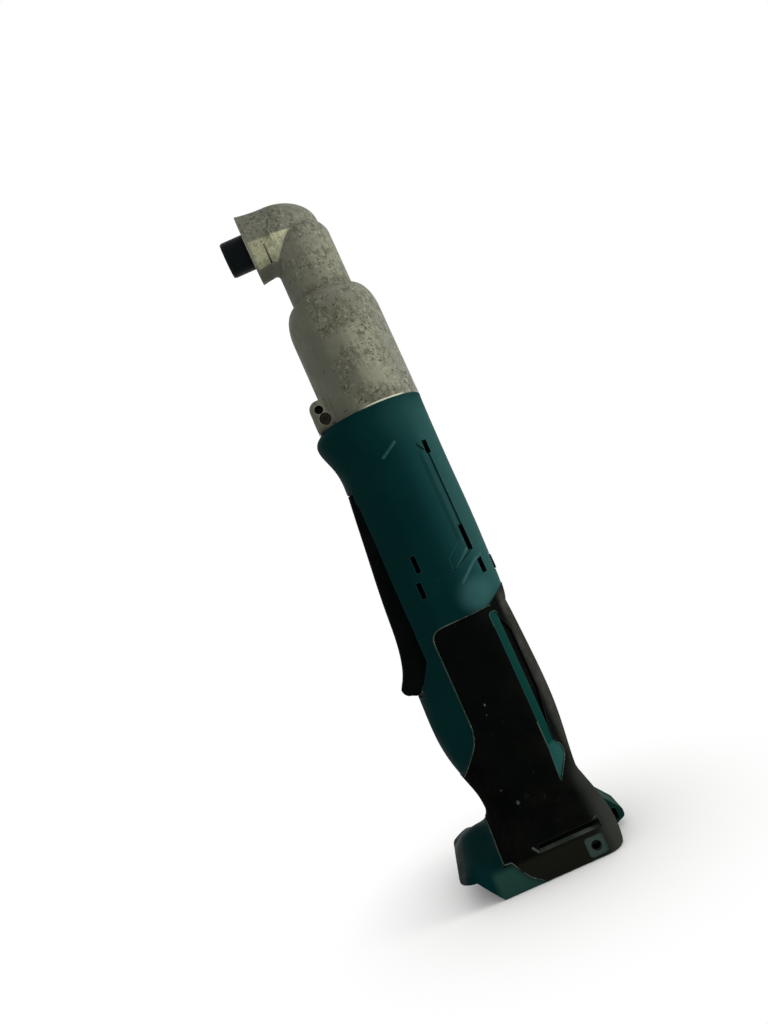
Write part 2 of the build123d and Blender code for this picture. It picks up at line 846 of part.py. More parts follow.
# Hammer with two jaws, spring pocket and ball grooves
with BuildPart() as hammer:
    with BuildSketch(Plane.XY.offset(hammer_low)):
        Circle(hammer_r)
    extrude(amount=hammer_length)
    with BuildSketch(Plane.XY.offset(hammer_top)):
        Circle(hammer_r)
        Rectangle(2 * hammer_jaw_half, 2 * hammer_r, mode=Mode.INTERSECT)
        Circle(hammer_hub_r, mode=Mode.SUBTRACT)
    extrude(amount=hammer_jaw)
    with BuildSketch(Plane.XY.offset(hammer_low)):
        Circle(spindle_r + running_gap)
    extrude(amount=hammer_length, mode=Mode.SUBTRACT)
    with BuildSketch(Plane.XY.offset(hammer_low)):
        Circle(spring_mean_r + spring_wire / 2 + slide_gap)
        Circle((spring_mean_r - spring_wire / 2) * cos(pi / coil_sides) - slide_gap, mode=Mode.SUBTRACT)
    extrude(amount=spring_pocket, mode=Mode.SUBTRACT)
    with BuildSketch(Plane.XY.offset(cam_ball_z - cam_ball_r - slide_gap)):
        with PolarLocations(spindle_r, 2):
            Circle(cam_ball_r + running_gap)
    extrude(amount=2 * (cam_ball_r + slide_gap) + hammer_travel, mode=Mode.SUBTRACT)

# Cam spindle with the planet carrier in one piece
with BuildPart() as cam_spindle:
    with BuildSketch(Plane.XY.offset(carrier_roof)):
        Circle(carrier_top_r)
    extrude(amount=carrier_top)
    with BuildSketch(Plane.XY.offset(spindle_low)):
        Circle(spindle_r)
    extrude(amount=hammer_top - spindle_low)
    with BuildSketch(Plane.XY.offset(hammer_top)):
        Circle(pilot_r - running_gap)
    extrude(amount=anvil_low - hammer_top + pilot_depth - hammer_gap)
    with BuildSketch(Plane.XY.offset(carrier_low)):
        Circle(carrier_plate_r)
    extrude(amount=carrier_plate)
    with BuildSketch(Plane.XY.offset(bearing_low + slide_gap)):
        Circle(carrier_hub_r)
    extrude(amount=carrier_low - bearing_low - slide_gap)
    with BuildSketch(Plane.XY.offset(carrier_floor)):
        Circle(carrier_plate_r)
        Rectangle(2 * carrier_plate_r, 2 * carrier_web_y, mode=Mode.SUBTRACT)
        Rectangle(2 * carrier_web_half, 2 * carrier_plate_r, mode=Mode.INTERSECT)
    extrude(amount=carrier_roof - carrier_floor)
    with BuildSketch(Plane.XY.offset(bearing_low)):
        Circle(sun_r + gear_module + slide_gap)
    extrude(amount=carrier_roof - bearing_low + carrier_top / 2, mode=Mode.SUBTRACT)
    with BuildSketch(Plane.XY.offset(carrier_low)):
        with PolarLocations(planet_orbit, 2):
            Circle(planet_pin_r + seat_gap)
    extrude(amount=spindle_low - carrier_low, mode=Mode.SUBTRACT)
    for side in (-1, 1):
        with BuildSketch(Plane.YZ.offset(side * (spindle_r - cam_ball_r - seat_gap))):
            with Locations((0, cam_ball_z)):
                Circle(cam_ball_r + seat_gap)
        extrude(amount=side * 2 * cam_ball_r, mode=Mode.SUBTRACT)

with BuildPart() as cam_balls:
    with Locations((spindle_r, 0, cam_ball_z), (-spindle_r, 0, cam_ball_z)):
        Sphere(cam_ball_r)

spring_top = hammer_low + spring_pocket - spring_washer
hammer_spring = coil(
    Plane.XY.offset(spindle_low + seat_gap),
    spring_mean_r,
    spring_wire,
    spring_top - spindle_low - 2 * seat_gap,
    spring_turns,
)
spring_seat = ring_on_z(
    spring_mean_r - spring_wire / 2,
    spring_mean_r + spring_wire / 2,
    spring_top,
    spring_top + spring_washer,
)

# Planet stage between the motor and the cam spindle
sun_gear = spur_gear(sun_teeth, gear_module, shaft_r, 0, 0)
planet_bore_r = planet_pin_r + running_gap / 2
planet_gear_front = spur_gear(planet_teeth, planet_tip * gear_module, planet_bore_r, -planet_orbit, pi)
planet_gear_back = spur_gear(planet_teeth, planet_tip * gear_module, planet_bore_r, planet_orbit, 0)
with BuildPart() as planet_pins:
    with BuildSketch(Plane.XY.offset(carrier_low)):
        with PolarLocations(planet_orbit, 2):
            Circle(planet_pin_r)
    extrude(amount=spindle_low - carrier_low)

with BuildPart() as ring_gear:
    ring_flank = tooth_flank(
        ring_pitch_r, ring_teeth, root_depth * gear_module, ring_tip * gear_module, -gear_backlash
    )
    with BuildSketch(Plane.XY.offset(plate_top)):
        Circle(gear_bore_r - seat_gap)
        Polygon(
            *tooth_outline(ring_teeth, ring_flank, lambda h: ring_pitch_r + h, 0),
            align=None,
            mode=Mode.SUBTRACT,
        )
    extrude(amount=gear_high - plate_top)

spindle_bearing = ring_on_z(carrier_hub_r + seat_gap, bearing_r, bearing_low, bearing_low + bearing_width)
with BuildPart() as gear_plate:
    with BuildSketch(Plane.XY.offset(plate_low)):
        Circle(spigot_r)
    extrude(amount=plate_flange - seat_gap)
    with BuildSketch(Plane.XY.offset(plate_low)):
        Circle(gear_bore_r - seat_gap)
    extrude(amount=plate_top - plate_low)
    with BuildSketch(Plane.XY.offset(plate_low)):
        Circle(can_boss_r + seat_gap)
    extrude(amount=plate_top - plate_low, mode=Mode.SUBTRACT)
    with BuildSketch(Plane.XY.offset(bearing_low)):
        Circle(bearing_r + seat_gap)
    extrude(amount=plate_top - bearing_low, mode=Mode.SUBTRACT)

# Motor: can, magnets, end bell, brushes and bushes, then the rotor that turns in them
with BuildPart() as motor_can:
    with BuildSketch(Plane.XY.offset(can_low)):
        Circle(can_r)
    extrude(amount=can_length)
    with BuildSketch(Plane.XY.offset(can_high)):
        Circle(can_boss_r)
    extrude(amount=can_boss)
    with BuildSketch(Plane.XY.offset(can_low)):
        Circle(can_r - can_wall)
    extrude(amount=can_length - can_wall, mode=Mode.SUBTRACT)
    with BuildSketch(Plane.XY.offset(can_high - can_wall)):
        Circle(motor_bush_r + seat_gap)
    extrude(amount=can_wall + can_boss, mode=Mode.SUBTRACT)

core_mid = (can_low + can_high) / 2
magnet_outer = can_r - can_wall - seat_gap
magnet_inner = core_r + magnet_gap
with BuildPart() as motor_magnets:
    with BuildSketch(Plane.XY.offset(core_mid - magnet_length / 2)):
        Circle(magnet_outer)
        Circle(magnet_inner, mode=Mode.SUBTRACT)
        Rectangle(2 * magnet_outer, 2 * magnet_inner * cos(radians(magnet_half)), mode=Mode.SUBTRACT)
    extrude(amount=magnet_length)

with BuildPart() as motor_end_bell:
    with BuildSketch(Plane.XY.offset(bell_low)):
        Circle(can_r)
    extrude(amount=bell_length - seat_gap)
    with BuildSketch(Plane.XY.offset(bell_low + can_wall + motor_bush_length)):
        Circle(can_r - 2 * can_wall)
    extrude(amount=bell_length, mode=Mode.SUBTRACT)
    with BuildSketch(Plane.XY.offset(bell_low)):
        Circle(motor_bush_r + seat_gap)
    extrude(amount=bell_length, mode=Mode.SUBTRACT)

with BuildPart() as carbon_brushes:
    brush_z = can_low - brush_height / 2 - 2 * seat_gap
    brush_x = commutator_r + running_gap + brush_length / 2
    with Locations((brush_x, 0, brush_z), (-brush_x, 0, brush_z)):
        Box(brush_length, brush_width, brush_height)

with BuildPart() as motor_bushes:
    for low in (can_high - can_wall, bell_low):
        with BuildSketch(Plane.XY.offset(low)):
            Circle(motor_bush_r)
            Circle(shaft_r + seat_gap, mode=Mode.SUBTRACT)
        extrude(amount=motor_bush_length - can_wall)

with BuildPart() as motor_shaft:
    with BuildSketch(Plane.XY.offset(bell_low - shaft_tail)):
        Circle(shaft_r)
    extrude(amount=gear_high - bell_low + shaft_tail)

with BuildPart() as armature_core:
    with BuildSketch(Plane.XY.offset(core_mid - core_length / 2)):
        Circle(core_r)
        with PolarLocations(core_r - core_slot_depth / 2, core_slots):
            Rectangle(core_slot_depth, core_slot_width, mode=Mode.SUBTRACT)
        Circle(shaft_r, mode=Mode.SUBTRACT)
    extrude(amount=core_length)

with BuildPart() as armature_windings:
    for low in (core_mid - core_length / 2 - winding_height, core_mid + core_length / 2):
        with BuildSketch(Plane.XY.offset(low)):
            Circle(winding_r)
            Circle(shaft_r, mode=Mode.SUBTRACT)
        extrude(amount=winding_height)

commutator_high = core_mid - core_length / 2 - winding_height
commutator = ring_on_z(shaft_r, commutator_r, commutator_high - commutator_length, commutator_high)

fan_low = core_mid + core_length / 2 + winding_height
with BuildPart() as cooling_fan:
    with BuildSketch(Plane.XY.offset(fan_low)):
        Circle(fan_r)
        Circle(shaft_r, mode=Mode.SUBTRACT)
    extrude(amount=fan_height / 4)
    with BuildSketch(Plane.XY.offset(fan_low)):
        Circle(fan_hub_r)
        with PolarLocations((fan_r + fan_hub_r) / 2 - slide_gap, fan_blades):
            Rectangle(fan_r - fan_hub_r, can_wall)
        Circle(shaft_r, mode=Mode.SUBTRACT)
    extrude(amount=fan_height)

# Switch with its plunger
with BuildPart() as switch_body:
    with BuildSketch(Plane.XZ):
        with Locations(((switch_front + switch_back) / 2, (switch_low + switch_high) / 2)):
            RectangleRounded(switch_back - switch_front, switch_high - switch_low, switch_round)
        with Locations((switch_block_front / 2, (switch_block_low + switch_high) / 2)):
            RectangleRounded(-switch_block_front, switch_high - switch_block_low, switch_round)
    extrude(amount=switch_half, both=True)
    with BuildSketch(Plane.YZ.offset(switch_front)):
        with Locations((0, lever_press_z)):
            Circle(plunger_stem_r + slide_gap)
    extrude(amount=plunger_stem + plunger_travel, mode=Mode.SUBTRACT)

with BuildPart() as switch_plunger:
    with BuildSketch(Plane.YZ.offset(plunger_front)):
        with Locations((0, lever_press_z)):
            RectangleRounded(2 * plunger_half, plunger_height, switch_round)
    extrude(amount=plunger_reach - plunger_travel - slide_gap)
    with BuildSketch(Plane.YZ.offset(plunger_front)):
        with Locations((0, lever_press_z)):
            Circle(plunger_stem_r)
    extrude(amount=plunger_reach + plunger_stem - slide_gap)

# Switch lever: a long paddle on the front, hollow at the back, hung from a pin at its top
with BuildPart() as switch_lever:
    with BuildSketch(Plane.XZ):
        with BuildLine():
            face = Spline(*lever_face, (lever_tip_x, lever_tip_z))
            nose = RadiusArc(face @ 1, (lever_chin_x, lever_chin_z), -lever_nose_r)
            heel = Spline(nose @ 1, (lever_heel_x, lever_heel_z), (lever_rear_x, lever_back_low))
            Polyline(
                heel @ 1,
                (lever_rear_x, room_top - lever_swing_room),
                (lever_neck_x, room_top - slide_gap),
                (lever_neck_x, lever_back_high),
                (lever_pivot_x, lever_top_z),
                face @ 0,
            )
        make_face()
    extrude(amount=lever_half, both=True)
    face_edges = switch_lever.edges().filter_by(GeomType.BSPLINE).sort_by(SortBy.LENGTH)[-2:]
    fillet(face_edges, lever_round)
    with BuildSketch(Plane.XZ):
        with BuildLine():
            inner = Spline(*[(x + lever_wall, z) for x, z in lever_face])
            Polyline(
                inner @ 1,
                (lever_rear_x + lever_wall, lever_back_low),
                (lever_rear_x + lever_wall, lever_top_z - lever_wall),
                (lever_pivot_x, lever_top_z - lever_wall),
                inner @ 0,
            )
        make_face()
    extrude(amount=lever_half - lever_wall, both=True, mode=Mode.SUBTRACT)

    # rib that presses the plunger, and the pivot boss with its hole
    rib_front = lever_face[-1][0] + lever_wall
    with BuildSketch(Plane.XZ):
        with Locations(((rib_front + plunger_front - slide_gap) / 2, lever_press_z)):
            Rectangle(plunger_front - slide_gap - rib_front, plunger_height / 2)
    extrude(amount=plunger_half, both=True)
    with BuildSketch(Plane.XZ):
        with Locations((lever_pivot_x, lever_pivot_z)):
            Circle(lever_boss_r)
    extrude(amount=lever_half, both=True)
    with BuildSketch(Plane.XZ):
        with Locations((lever_pivot_x, lever_pivot_z)):
            Circle(lever_pin_r + running_gap / 2)
    extrude(amount=lever_half, both=True, mode=Mode.SUBTRACT)

with BuildPart() as lever_pin:
    with BuildSketch(Plane.XZ):
        with Locations((lever_pivot_x, lever_pivot_z)):
            Circle(lever_pin_r)
    extrude(amount=lever_pin_end, both=True)

# Reversing lever: a plate behind the back wall with its thumb piece through a slot
with BuildPart() as reversing_lever:
    with BuildSketch(Plane.YZ.offset(switch_back + slide_gap)):
        with Locations((0, reverse_z)):
            RectangleRounded(2 * reverse_plate_half, reverse_height + 2 * reverse_plate, switch_round)
    extrude(amount=reverse_plate)
    with BuildSketch(Plane.YZ.offset(switch_back + slide_gap)):
        with Locations((0, reverse_z)):
            RectangleRounded(2 * reverse_half, reverse_height, switch_round)
    extrude(amount=motor_heel.back + reverse_proud - switch_back - slide_gap)

# Lamp in the notch of the ear: lens over a small board
with BuildPart() as lamp_lens:
    with BuildSketch(Plane.XZ):
        with BuildLine():
            Polyline(
                (-lens_back - seat_gap, joint_z - lens_foot),
                (-lens_front, joint_z - lens_foot),
                (-lens_front, joint_z + lens_height - lens_slope),
                (-lens_back - seat_gap, joint_z + lens_height),
                close=True,
            )
        make_face()
    extrude(amount=lens_half, both=True)
with BuildPart() as lamp_led:
    with BuildSketch(Plane.XY.offset(joint_z - lens_foot)):
        with Locations(((-lens_back - lens_front) / 2, 0)):
            Rectangle(lens_front - lens_back - 2 * seat_gap, 2 * lens_half)
    extrude(amount=-lamp_board)


def lever_room():
    """Side view of the room behind the front: lever slot, lever swing and switch."""
    Polyline(
        (-flank_reach, lever_top_z + lever_swing_room),
        (lever_pivot_x + lever_boss_r + slide_gap, lever_top_z + lever_swing_room),
        (lever_pivot_x + lever_boss_r + slide_gap, room_top),
        (room_back, room_top),
        (room_back, switch_low - switch_rib),
        (lever_rear_x + lever_swing_room, switch_low - switch_rib),
        (lever_rear_x, lever_heel_z - lever_swing_room),
        (lever_heel_x + lever_swing_room, lever_chin_z - lever_chin_drop),
        (lever_chin_x, lever_chin_z - slide_gap),
        (-flank_reach, lever_chin_z - slide_gap),
        close=True,
    )


def front_cut():
    """Side view of what the front of the housing leaves free for the lever."""
    FilletPolyline(
        (-flank_reach, lever_top_z + lever_swing_room),
        (motor_high.front, lever_top_z + lever_swing_room),
        (lever_edge_x, lever_pivot_z),
        (lever_edge_x, front_cut_top),
        (front_cut_x, front_cut_z),
        (lever_chin_x, lever_chin_z),
        (-flank_reach, lever_chin_z),
        radius=front_cut_round,
    )
    Line((-flank_reach, lever_chin_z), (-flank_reach, lever_top_z + lever_swing_room))


def grip_edge():
    """Side view of the soft grip: flank, back, waist and foot."""
    Polyline(
        (-flank_reach, grip_front_z),
        (grip_front_x, grip_front_z),
        (grip_edge_x, grip_front_turn_z),
        (grip_edge_x, grip_edge_z - grip_corner),
    )
    RadiusArc(
        (grip_edge_x, grip_edge_z - grip_corner), (grip_edge_x + grip_corner, grip_edge_z), grip_corner
    )
    Polyline(
        (grip_edge_x + grip_corner, grip_edge_z),
        (grip_rise_x, grip_edge_z),
        (motor_heel.back, grip_edge_z + grip_rise),
        (flank_reach, grip_edge_z + grip_rise),
        (flank_reach, grip_hem),
        (toe_end_x, grip_hem),
        (toe_slope_x, toe_slope_z),
        (toe_step_x, toe_edge_low),
        (toe_edge_x, toe_edge_low),
        (toe_edge_x, toe_edge_high),
        (-flank_reach, toe_edge_high),
        (-flank_reach, grip_front_z),
    )


def stripe_edge():
    """Side view of the window in the grip: a narrow stripe that ends in a leaf."""
    left = stripe_x - stripe_half
    right = stripe_x + stripe_half
    ThreePointArc((right, stripe_high), (stripe_x, stripe_high + stripe_half), (left, stripe_high))
    Polyline(
        (left, stripe_high),
        (left, stripe_low),
        (leaf_tip_x, leaf_tip_z),
        (leaf_wide_x, leaf_wide_z - 2 * stripe_half),
        (leaf_wide_x, leaf_wide_z),
        (right, stripe_low + stripe_half),
        (right, stripe_high),
    )


# Strap lug on the back of the foot
with BuildPart() as strap_lug:
    with BuildSketch(Plane.XZ):
        with BuildLine():
            FilletPolyline(
                (bay_back, lug_high),
                (lug_top_x, lug_high),
                (lug_reach, lug_peak_high),
                (lug_reach, lug_peak_low),
                (sole.back, lug_low),
                (bay_back, lug_low),
                radius=lug_round,
            )
            Line((bay_back, lug_low), (bay_back, lug_high))
        make_face()
        with Locations((lug_hole_x, lug_hole_z)):
            SlotOverall(lug_hole_height, lug_hole_width, rotation=90, mode=Mode.SUBTRACT)
    extrude(amount=lug_half, both=True)

# Everything that the soft grip fills, outside the core of the housing
with BuildPart() as grip_pocket:
    with BuildSketch(Plane.XZ):
        with BuildLine():
            grip_edge()
        make_face()
        with BuildLine():
            stripe_edge()
        make_face(mode=Mode.SUBTRACT)
        with Locations((hook_x, hook_z)):
            RectangleRounded(hook_pad, hook_pad, hook_pad_round, mode=Mode.SUBTRACT)
    extrude(amount=flank_reach, both=True)
    add(housing_skin(grip_depth), mode=Mode.SUBTRACT)
    add(strap_lug.part, mode=Mode.SUBTRACT)
    for side in (-1, 1):
        with BuildSketch(Plane.XZ.offset(side * (foot_rim.half - hook_slot_depth - hook_slot_wall))):
            with Locations((hook_slot_x, (hook_slot_low + hook_slot_high) / 2)):
                Rectangle(
                    hook_slot_length + 2 * hook_slot_wall,
                    hook_slot_high - hook_slot_low + 2 * hook_slot_wall,
                )
        extrude(amount=side * flank_reach)

# Gutter in the grip behind the stripe
with BuildPart() as grip_gutter:
    with BuildSketch(Plane.XZ):
        with BuildLine():
            Polyline(
                (stripe_x + stripe_half, gutter_high),
                (gutter_edge_x, gutter_shoulder),
                (gutter_edge_x, gutter_hip),
                (stripe_x + stripe_half, gutter_low),
                close=True,
            )
        make_face()
    extrude(amount=flank_reach, both=True)
    add(housing_skin(gutter_depth), mode=Mode.SUBTRACT)

# Sunk channel beside the flank panel
with BuildPart() as panel_channel:
    with BuildSketch(Plane.XZ):
        with BuildLine():
            Polyline(
                (panel_inner_x, panel_high),
                (panel_outer_x, panel_high - panel_width),
                (panel_outer_x, panel_low - panel_toe_drop),
                (panel_toe_x, panel_low - panel_toe_drop - panel_width),
                (panel_toe_x, panel_low - panel_toe_drop),
                (panel_inner_x, panel_low),
                close=True,
            )
        make_face()
    extrude(amount=flank_reach, both=True)
    add(housing_skin(panel_depth), mode=Mode.SUBTRACT)

skin = housing_skin(0)


def flank_wells(side):
    """Belt hook slot of one flank and, on the right flank, the wells of the screw heads."""
    with BuildPart() as wells:
        with BuildSketch(Plane.YZ.offset(hook_slot_x - hook_slot_length / 2)):
            with BuildLine():
                Polyline(
                    (-side * flank_reach, hook_slot_high),
                    (-side * (foot_rim.half - hook_slot_depth), hook_slot_high),
                    (-side * (foot_rim.half - hook_slot_lip), hook_slot_low),
                    (-side * flank_reach, hook_slot_low),
                    close=True,
                )
            make_face()
        extrude(amount=hook_slot_length)
        if side < 0:
            for screw in screws:
                with BuildSketch(Plane.XZ.offset(-screw.seat)):
                    with Locations((screw.x, screw.z)):
                        Circle(screw_head_r + slide_gap)
                extrude(amount=-flank_reach)
    return wells.part


def housing_half(keep):
    """One half of the housing, with the rooms for what it holds."""
    with BuildPart() as half:
        add(skin)
        add(strap_lug.part)
        split(bisect_by=Plane.XZ, keep=keep)
        # motor room with its ribs, gear plate seat and the lap over the spigot
        with BuildSketch(Plane.XZ):
            with BuildLine():
                Polyline(
                    (0, joint_z),
                    (spigot_r + seat_gap, joint_z),
                    (spigot_r + seat_gap, plate_low),
                    (can_r + seat_gap, plate_low),
                    (can_r + seat_gap, can_high - motor_rib),
                    (motor_room_r, can_high - motor_rib),
                    (motor_room_r, can_low + motor_rib),
                    (can_r + seat_gap, can_low + motor_rib),
                    (can_r + seat_gap, bell_low),
                    (bell_hole_r, bell_low),
                    (bell_hole_r, room_top),
                    (0, room_top),
                    close=True,
                )
            make_face()
        revolve(axis=Axis.Z, mode=Mode.SUBTRACT)
        # rooms for lever, switch and leads
        with BuildSketch(Plane.XZ):
            with BuildLine():
                lever_room()
            make_face()
        extrude(amount=lever_half + slide_gap, both=True, mode=Mode.SUBTRACT)
        with BuildSketch(Plane.XZ):
            with BuildLine():
                front_cut()
            make_face()
        extrude(amount=flank_reach, both=True, mode=Mode.SUBTRACT)
        with BuildSketch(Plane.XZ):
            with BuildLine():
                Polyline(
                    (room_back - switch_rib, switch_low - switch_rib),
                    (passage_back, waist.z),
                    (passage_back, bay_top),
                    (passage_front, bay_top),
                    (passage_front, waist.z),
                    (grip_edge_x, grip_belly.z),
                    (grip_edge_x, switch_low - 2 * switch_rib),
                    (lever_rear_x + lever_wall, switch_low - switch_rib),
                    close=True,
                )
            make_face()
        extrude(amount=passage_half, both=True, mode=Mode.SUBTRACT)
        # battery bay with open front, then its rails
        with BuildSketch(Plane.XZ):
            with Locations(((bay_back - flank_reach) / 2, bay_top / 2)):
                Rectangle(bay_back + flank_reach, bay_top)
        extrude(amount=bay_half, both=True, mode=Mode.SUBTRACT)
        with BuildSketch(Plane.XZ):
            with BuildLine():
                Polyline(
                    (-flank_reach, bay_top),
                    (toe_cut_x, bay_top),
                    (toe_cut_foot_x, 0),
                    (-flank_reach, 0),
                    close=True,
                )
            make_face()
        extrude(amount=flank_reach, both=True, mode=Mode.SUBTRACT)
        side = 1 if keep == Keep.TOP else -1
        with BuildSketch(Plane.XZ.offset(side * bay_half)):
            with Locations(((rail_front + rail_back) / 2, rail_low + rail_height / 2)):
                Rectangle(rail_back - rail_front, rail_height)
        extrude(amount=-side * rail_depth)
        # ribs that hold the switch
        for level in (switch_low, switch_high - switch_rib):
            with BuildSketch(Plane.XZ.offset(side * (lever_half + slide_gap))):
                with Locations((switch_back / 2, level + switch_rib / 2)):
                    Rectangle(switch_back, switch_rib)
            extrude(amount=side * (switch_half + seat_gap - lever_half - slide_gap))
        # air slots, panel channel and grip seat
        for slot in air_slots:
            with BuildSketch(Plane.XZ.offset(side * slot_root)):
                with Locations((slot.x, slot.z)):
                    Rectangle(slot_width, slot.length)
            extrude(amount=side * flank_reach, mode=Mode.SUBTRACT)
        add(panel_channel.part, mode=Mode.SUBTRACT)
        add(grip_pocket.part, mode=Mode.SUBTRACT)
        # lever pin, lamp and reversing lever
        with BuildSketch(Plane.XZ):
            with Locations((lever_pivot_x, lever_pivot_z)):
                Circle(lever_pin_r + seat_gap)
        extrude(amount=lever_pin_end + seat_gap, both=True, mode=Mode.SUBTRACT)
        with BuildSketch(Plane.XY.offset(joint_z)):
            with Locations(((-lens_back - lens_front) / 2, 0)):
                Rectangle(lens_front - lens_back, 2 * (lens_half + seat_gap))
        extrude(amount=-lens_foot - lamp_board - seat_gap, mode=Mode.SUBTRACT)
        with BuildSketch(Plane.YZ.offset(room_back)):
            with Locations((0, reverse_z)):
                Rectangle(2 * (reverse_half + reverse_travel + slide_gap), reverse_height + 2 * slide_gap)
        extrude(amount=flank_reach, mode=Mode.SUBTRACT)
        # belt hook nut, and the screws, which bite into the left half
        with BuildSketch(Plane.XZ.offset(side * hook_face)):
            with Locations((hook_x, hook_z)):
                Circle(hook_nut_r)
        extrude(amount=-side * hook_nut_length, mode=Mode.SUBTRACT)
        with BuildSketch(Plane.XZ.offset(side * hook_face)):
            with Locations((hook_x, hook_z)):
                Circle(hook_mouth_r)
        extrude(amount=side * flank_reach, mode=Mode.SUBTRACT)
        for screw in screws:
            with BuildSketch(Plane.XZ):
                with Locations((screw.x, screw.z)):
                    Circle(screw_r + seat_gap)
            depth = screw_bite + seat_gap if side > 0 else screw.seat
            extrude(amount=side * depth, mode=Mode.SUBTRACT)
        add(flank_wells(side), mode=Mode.SUBTRACT)
    return half


def grip_half(keep):
    """One half of the soft grip."""
    with BuildPart() as half:
        add(housing_skin(-grip_proud))
        split(bisect_by=Plane.XZ, keep=keep)
        add(grip_pocket.part, mode=Mode.INTERSECT)
        add(grip_gutter.part, mode=Mode.SUBTRACT)
        add(flank_wells(1 if keep == Keep.TOP else -1), mode=Mode.SUBTRACT)
    return half


housing_left = housing_half(Keep.TOP)
housing_right = housing_half(Keep.BOTTOM)
grip_left = grip_half(Keep.TOP)
grip_right = grip_half(Keep.BOTTOM)

with BuildPart() as housing_screws:
    for screw in screws:
        with BuildSketch(Plane.XZ.offset(-screw.seat)):
            with Locations((screw.x, screw.z)):
                Circle(screw_head_r)
        extrude(amount=-screw_head)
        with BuildSketch(Plane.XZ.offset(-screw.seat)):
            with Locations((screw.x, screw.z)):
                Circle(screw_r)
        extrude(amount=screw.seat + screw_bite)
        with BuildSketch(Plane.XZ.offset(-screw.seat - screw_head)):
            with Locations((screw.x, screw.z)):
                RegularPolygon(screw_drive_r, 6)
        extrude(amount=screw_head / 2, mode=Mode.SUBTRACT)

with BuildPart() as hook_nuts:
    for side in (-1, 1):
        with BuildSketch(Plane.XZ.offset(side * hook_face)):
            with Locations((hook_x, hook_z)):
                Circle(hook_nut_r - seat_gap)
        extrude(amount=-side * hook_nut_length)
        with BuildSketch(Plane.XZ.offset(side * hook_face)):
            with Locations((hook_x, hook_z)):
                Circle(hook_hole_r)
        extrude(amount=-side * (hook_nut_length - hook_nut_end), mode=Mode.SUBTRACT)

# Battery terminals under the roof of the bay
with BuildPart() as terminal_block:
    with BuildSketch(Plane.XZ):
        with BuildLine():
            Polyline(
                (terminal_front, bay_top - seat_gap),
                (bay_back - seat_gap, bay_top - seat_gap),
                (bay_back - seat_gap, terminal_low),
                (terminal_front + terminal_step, terminal_low),
                (terminal_front + terminal_step, terminal_low + terminal_step / 2),
                (terminal_front, terminal_low + terminal_step / 2),
                close=True,
            )
        make_face()
    extrude(amount=terminal_half, both=True)

with BuildPart() as terminal_blades:
    for row in blade_rows:
        with BuildSketch(Plane.XZ.offset(row - blade_thick / 2)):
            with Locations((terminal_front - blade_length / 2, bay_top - terminal_step / 2 - seat_gap)):
                Rectangle(blade_length, terminal_step)
        extrude(amount=blade_thick)

pieces = {
    "hammer_case": hammer_case,
    "ear_screws": ear_screws,
    "head_ring": head_ring,
    "output_spindle": output_spindle,
    "output_gear": output_gear,
    "output_bearing": output_bearing,
    "output_bush": output_bush,
    "bit_sleeve": bit_sleeve,
    "sleeve_spring": sleeve_spring,
    "sleeve_washer": sleeve_washer,
    "sleeve_snap_ring": sleeve_snap_ring,
    "bit_balls": bit_balls,
    "anvil": anvil,
    "anvil_pinion": anvil_pinion,
    "anvil_bush": anvil_bush,
    "anvil_washer": anvil_washer,
    "hammer": hammer,
    "hammer_spring": hammer_spring,
    "spring_seat": spring_seat,
    "cam_spindle": cam_spindle,
    "cam_balls": cam_balls,
    "sun_gear": sun_gear,
    "planet_gear_front": planet_gear_front,
    "planet_gear_back": planet_gear_back,
    "planet_pins": planet_pins,
    "ring_gear": ring_gear,
    "spindle_bearing": spindle_bearing,
    "gear_plate": gear_plate,
    "motor_can": motor_can,
    "motor_magnets": motor_magnets,
    "motor_end_bell": motor_end_bell,
    "carbon_brushes": carbon_brushes,
    "motor_bushes": motor_bushes,
    "motor_shaft": motor_shaft,
    "armature_core": armature_core,
    "armature_windings": armature_windings,
    "commutator": commutator,
    "cooling_fan": cooling_fan,
    "switch_body": switch_body,
    "switch_plunger": switch_plunger,
    "switch_lever": switch_lever,
    "lever_pin": lever_pin,
    "reversing_lever": reversing_lever,
    "lamp_lens": lamp_lens,
    "lamp_led": lamp_led,
    "housing_left": housing_left,
    "housing_right": housing_right,
    "grip_left": grip_left,
    "grip_right": grip_right,
    "housing_screws": housing_screws,
    "hook_nuts": hook_nuts,
    "terminal_block": terminal_block,
    "terminal_blades": terminal_blades,
}
os.makedirs("parts", exist_ok=True)
for name, piece in pieces.items():
    piece.part.label = name
    export_step(piece.part, f"parts/{name}.step")
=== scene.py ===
import json
import math

import bmesh
import bpy
from mathutils import Matrix, Vector
from mathutils.bvhtree import BVHTree


